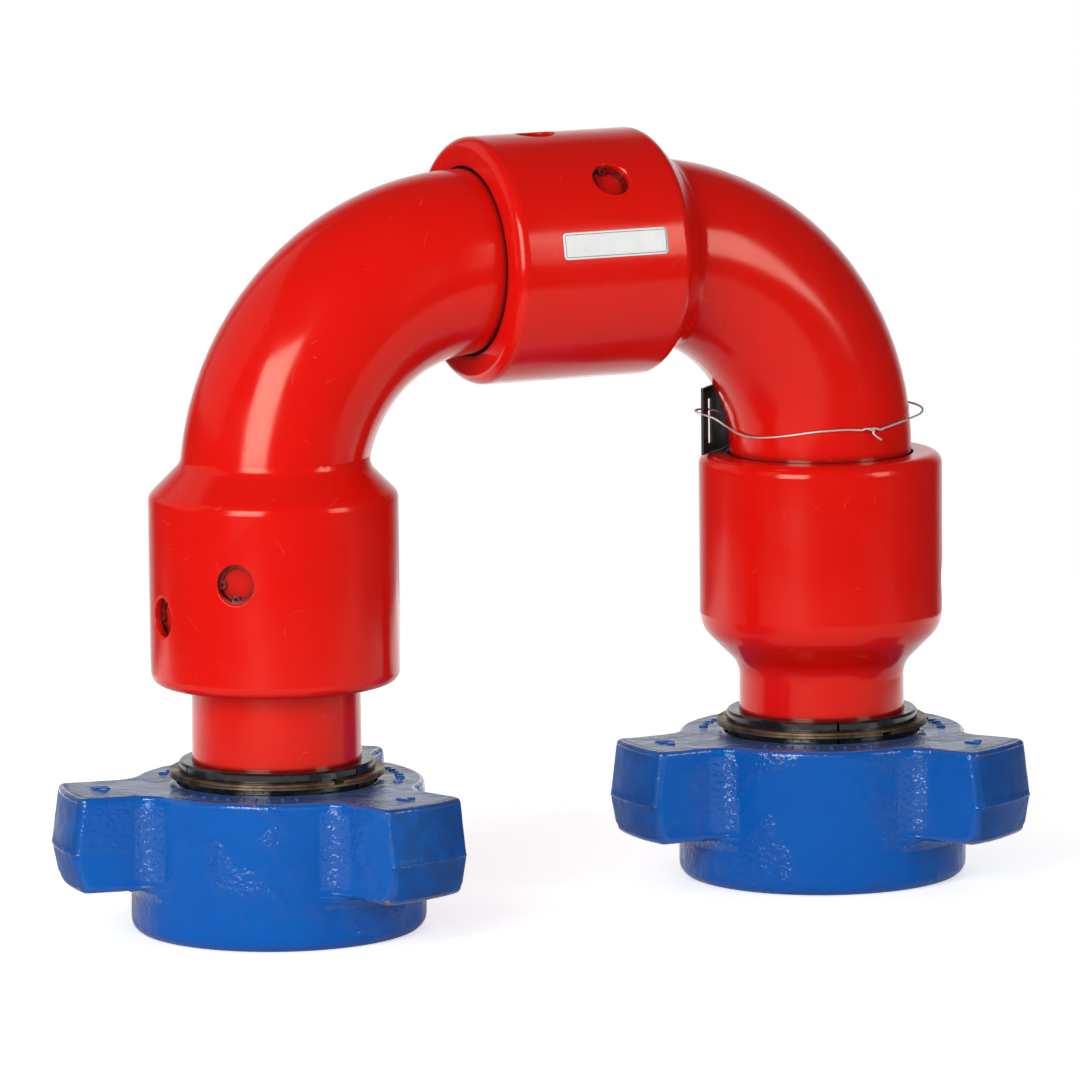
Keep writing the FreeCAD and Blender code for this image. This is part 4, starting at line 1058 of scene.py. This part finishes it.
class SWIVEL_OT_label(bpy.types.Operator):
    """Stick the blank printed label on the top collar"""
    bl_idname = "swivel.label"
    bl_label = "Stick Label"

    def execute(self, context):
        label_piece()
        return {"FINISHED"}


class SWIVEL_OT_tag(bpy.types.Operator):
    """Paint the tag and tie it on with steel wire"""
    bl_idname = "swivel.tag"
    bl_label = "Tie Tag"

    def execute(self, context):
        dress(finish(tag_black_finish), "id_tag")
        tie_wire_piece(finish(turned_metal_finish, "wire_steel_finish", (0.95, 0.93, 0.9),
                              (0.7, 0.66, 0.62), 0.5))
        return {"FINISHED"}


# Studio


def studio_object(name, data, place, turn):
    """Object of a lamp or camera, turned by a quaternion."""
    item = bpy.data.objects.new(name, data)
    item.location = place
    item.rotation_mode = "QUATERNION"
    item.rotation_quaternion = turn
    bpy.context.collection.objects.link(item)
    return item


def softbox(name, turn, rise, width, height, glow):
    """Softbox at a turn to the left of the camera and a rise, its size seen in degrees."""
    lamp_distance = 2.6
    studio = bpy.context.scene.swivel_studio
    way = math.radians(-90 - turn) - studio.azimuth
    rise = math.radians(rise)
    out = Vector((*(direction(way) * math.cos(rise)), math.sin(rise)))
    data = bpy.data.lights.new(name, "AREA")
    data.shape = "RECTANGLE"
    data.size = 2 * lamp_distance * math.tan(math.radians(width) / 2)
    data.size_y = 2 * lamp_distance * math.tan(math.radians(height) / 2)
    data.energy = glow * math.pi * data.size * data.size_y
    return studio_object(name, data, Vector(studio.target) + out * lamp_distance,
                         (-out).to_track_quat("-Z", "Y"))


def backdrop_rays(tree):
    """Masks of the rays that see the backdrop: straight or through glass, and in gloss."""
    path = add(tree, "ShaderNodeLightPath", "Ray", {}).outputs
    straight = calculate(tree, "Camera or glass", "MAXIMUM", path["Is Camera Ray"],
                         path["Is Transmission Ray"])
    return straight, path["Is Glossy Ray"]


def towards_backdrop(tree, place):
    """How far a place or a direction lies towards the backdrop, behind the joint."""
    turn = bpy.context.scene.swivel_studio.azimuth
    return add(tree, "ShaderNodeVectorMath", "Towards the backdrop", {
        0: place, 1: (math.sin(turn), math.cos(turn), 0.0)}, operation="DOT_PRODUCT").outputs["Value"]


def floor_material():
    """Pale floor that the camera sees as white, with the object's shadow kept."""
    studio = bpy.context.scene.swivel_studio
    material, tree, place = new_material("studio_floor", studio.floor)
    middle = add(tree, "ShaderNodeVectorMath", "From the joint", {
        0: place, 1: (studio.target[0], studio.target[1], 0.0)}, operation="DISTANCE")
    glow = ramp(tree, "Fade to the backdrop", middle.outputs["Value"], 0.45, 1.0, 0.6, 1.0)
    straight, glossy = backdrop_rays(tree)
    mirrored = calculate(tree, "In gloss", "MULTIPLY", glossy, ramp(
        tree, "Near the backdrop", towards_backdrop(tree, place), 0.0, 0.5))
    glow = calculate(tree, "Seen glow", "MULTIPLY", glow, calculate(
        tree, "Seen", "ADD", straight, mirrored))
    return surfaced(material, Base_Color=studio.floor, Specular_IOR_Level=0.0,
                    Emission_Color=(1.0, 1.0, 1.0), Emission_Strength=glow,
                    Roughness=gloss(tree, cloud(tree, "Grain", place, 0.02), 0.85, 0.95))


def studio_world():
    """White backdrop behind the joint, a dim room in front of it and even light from both."""
    studio = bpy.context.scene.swivel_studio
    world = bpy.data.worlds.new("studio")
    world.use_nodes = True
    tree = world.node_tree
    tree.nodes.clear()
    way = add(tree, "ShaderNodeTexCoord", "Direction", {}).outputs["Generated"]
    backdrop = ramp(tree, "Backdrop", towards_backdrop(tree, way), 0.72, 1.06, 0.04, 1.0)
    straight, glossy = backdrop_rays(tree)
    mirrored = calculate(tree, "In gloss", "MULTIPLY", backdrop, glossy)
    seen = calculate(tree, "Backdrop seen", "ADD", straight, mirrored)
    other = opposite(tree, "Other rays", calculate(tree, "Any of both", "MAXIMUM", straight, glossy))
    strength = add_share(tree, "Even light", seen, other, studio.even_light)
    light = add(tree, "ShaderNodeBackground", "Studio", {
        "Color": (1.0, 1.0, 1.0), "Strength": strength})
    add(tree, "ShaderNodeOutputWorld", "Output", {"Surface": light.outputs[0]})
    bpy.context.scene.world = world


def studio_floor():
    """Table top below the joint."""
    half_width = 0.9
    studio = bpy.context.scene.swivel_studio
    points = [(studio.target[0] + x * half_width, studio.target[1] + y * half_width, 0)
              for x, y in ((-1, -1), (1, -1), (1, 1), (-1, 1))]
    floor = new_piece("floor", points, [(0, 1, 2, 3)], floor_material())


def studio_camera():
    studio = bpy.context.scene.swivel_studio
    level = math.cos(studio.elevation)
    ahead = Vector((math.sin(studio.azimuth) * level, math.cos(studio.azimuth) * level,
                    -math.sin(studio.elevation)))
    data = bpy.data.cameras.new("camera")
    data.lens = studio.lens
    data.sensor_width = studio.sensor
    turn = ahead.to_track_quat("-Z", "Y") @ Quaternion((0, 0, 1), studio.roll)
    place = Vector(studio.target) - ahead * studio.distance
    bpy.context.scene.camera = studio_object("camera", data, place, turn)


class SWIVEL_OT_studio(bpy.types.Operator):
    """Set the pale floor, the soft lights, the backdrop and the camera"""
    bl_idname = "swivel.studio"
    bl_label = "Set Studio"

    def execute(self, context):
        context.scene.view_settings.view_transform = "Standard"
        softbox("left_softbox", turn=26, rise=17, width=28, height=34, glow=8.5)
        softbox("right_softbox", turn=-62, rise=16, width=18, height=24, glow=5.0)
        softbox("rim_softbox", turn=105, rise=30, width=60, height=40, glow=0.35)
        back = softbox("back_softbox", turn=180, rise=35, width=70, height=40, glow=0.9)
        back.visible_glossy = False
        studio_floor()
        studio_world()
        studio_camera()
        return {"FINISHED"}


class SWIVEL_PT_panel(bpy.types.Panel):
    """Sizes, colours and pieces of the swivel joint"""
    bl_idname = "SWIVEL_PT_panel"
    bl_label = "Swivel Joint"
    bl_space_type = "VIEW_3D"
    bl_region_type = "UI"
    bl_category = "Swivel Joint"

    def draw(self, context):
        for name, group in SETTINGS.items():
            box = self.layout.box()
            for key in group.__annotations__:
                box.prop(getattr(context.scene, name), key)
        for operator in OPERATORS:
            self.layout.operator(operator.bl_idname)


OPERATORS = (SWIVEL_OT_forgings, SWIVEL_OT_swivels, SWIVEL_OT_retainers, SWIVEL_OT_wing_nuts,
             SWIVEL_OT_label, SWIVEL_OT_tag, SWIVEL_OT_studio)


def register():
    for settings in (*SETTINGS.values(), *OPERATORS, SWIVEL_PT_panel):
        bpy.utils.register_class(settings)
    for name, group in SETTINGS.items():
        setattr(bpy.types.Scene, name, bpy.props.PointerProperty(type=group))


def unregister():
    for name in SETTINGS:
        delattr(bpy.types.Scene, name)
    for settings in (SWIVEL_PT_panel, *reversed(OPERATORS), *SETTINGS.values()):
        bpy.utils.unregister_class(settings)


def main():
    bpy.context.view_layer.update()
    register()
    bpy.ops.swivel.forgings()
    bpy.ops.swivel.swivels()
    bpy.ops.swivel.retainers()
    bpy.ops.swivel.wing_nuts()
    bpy.ops.swivel.label()
    bpy.ops.swivel.tag()
    bpy.ops.swivel.studio()


if __name__ == "__main__":
    main()
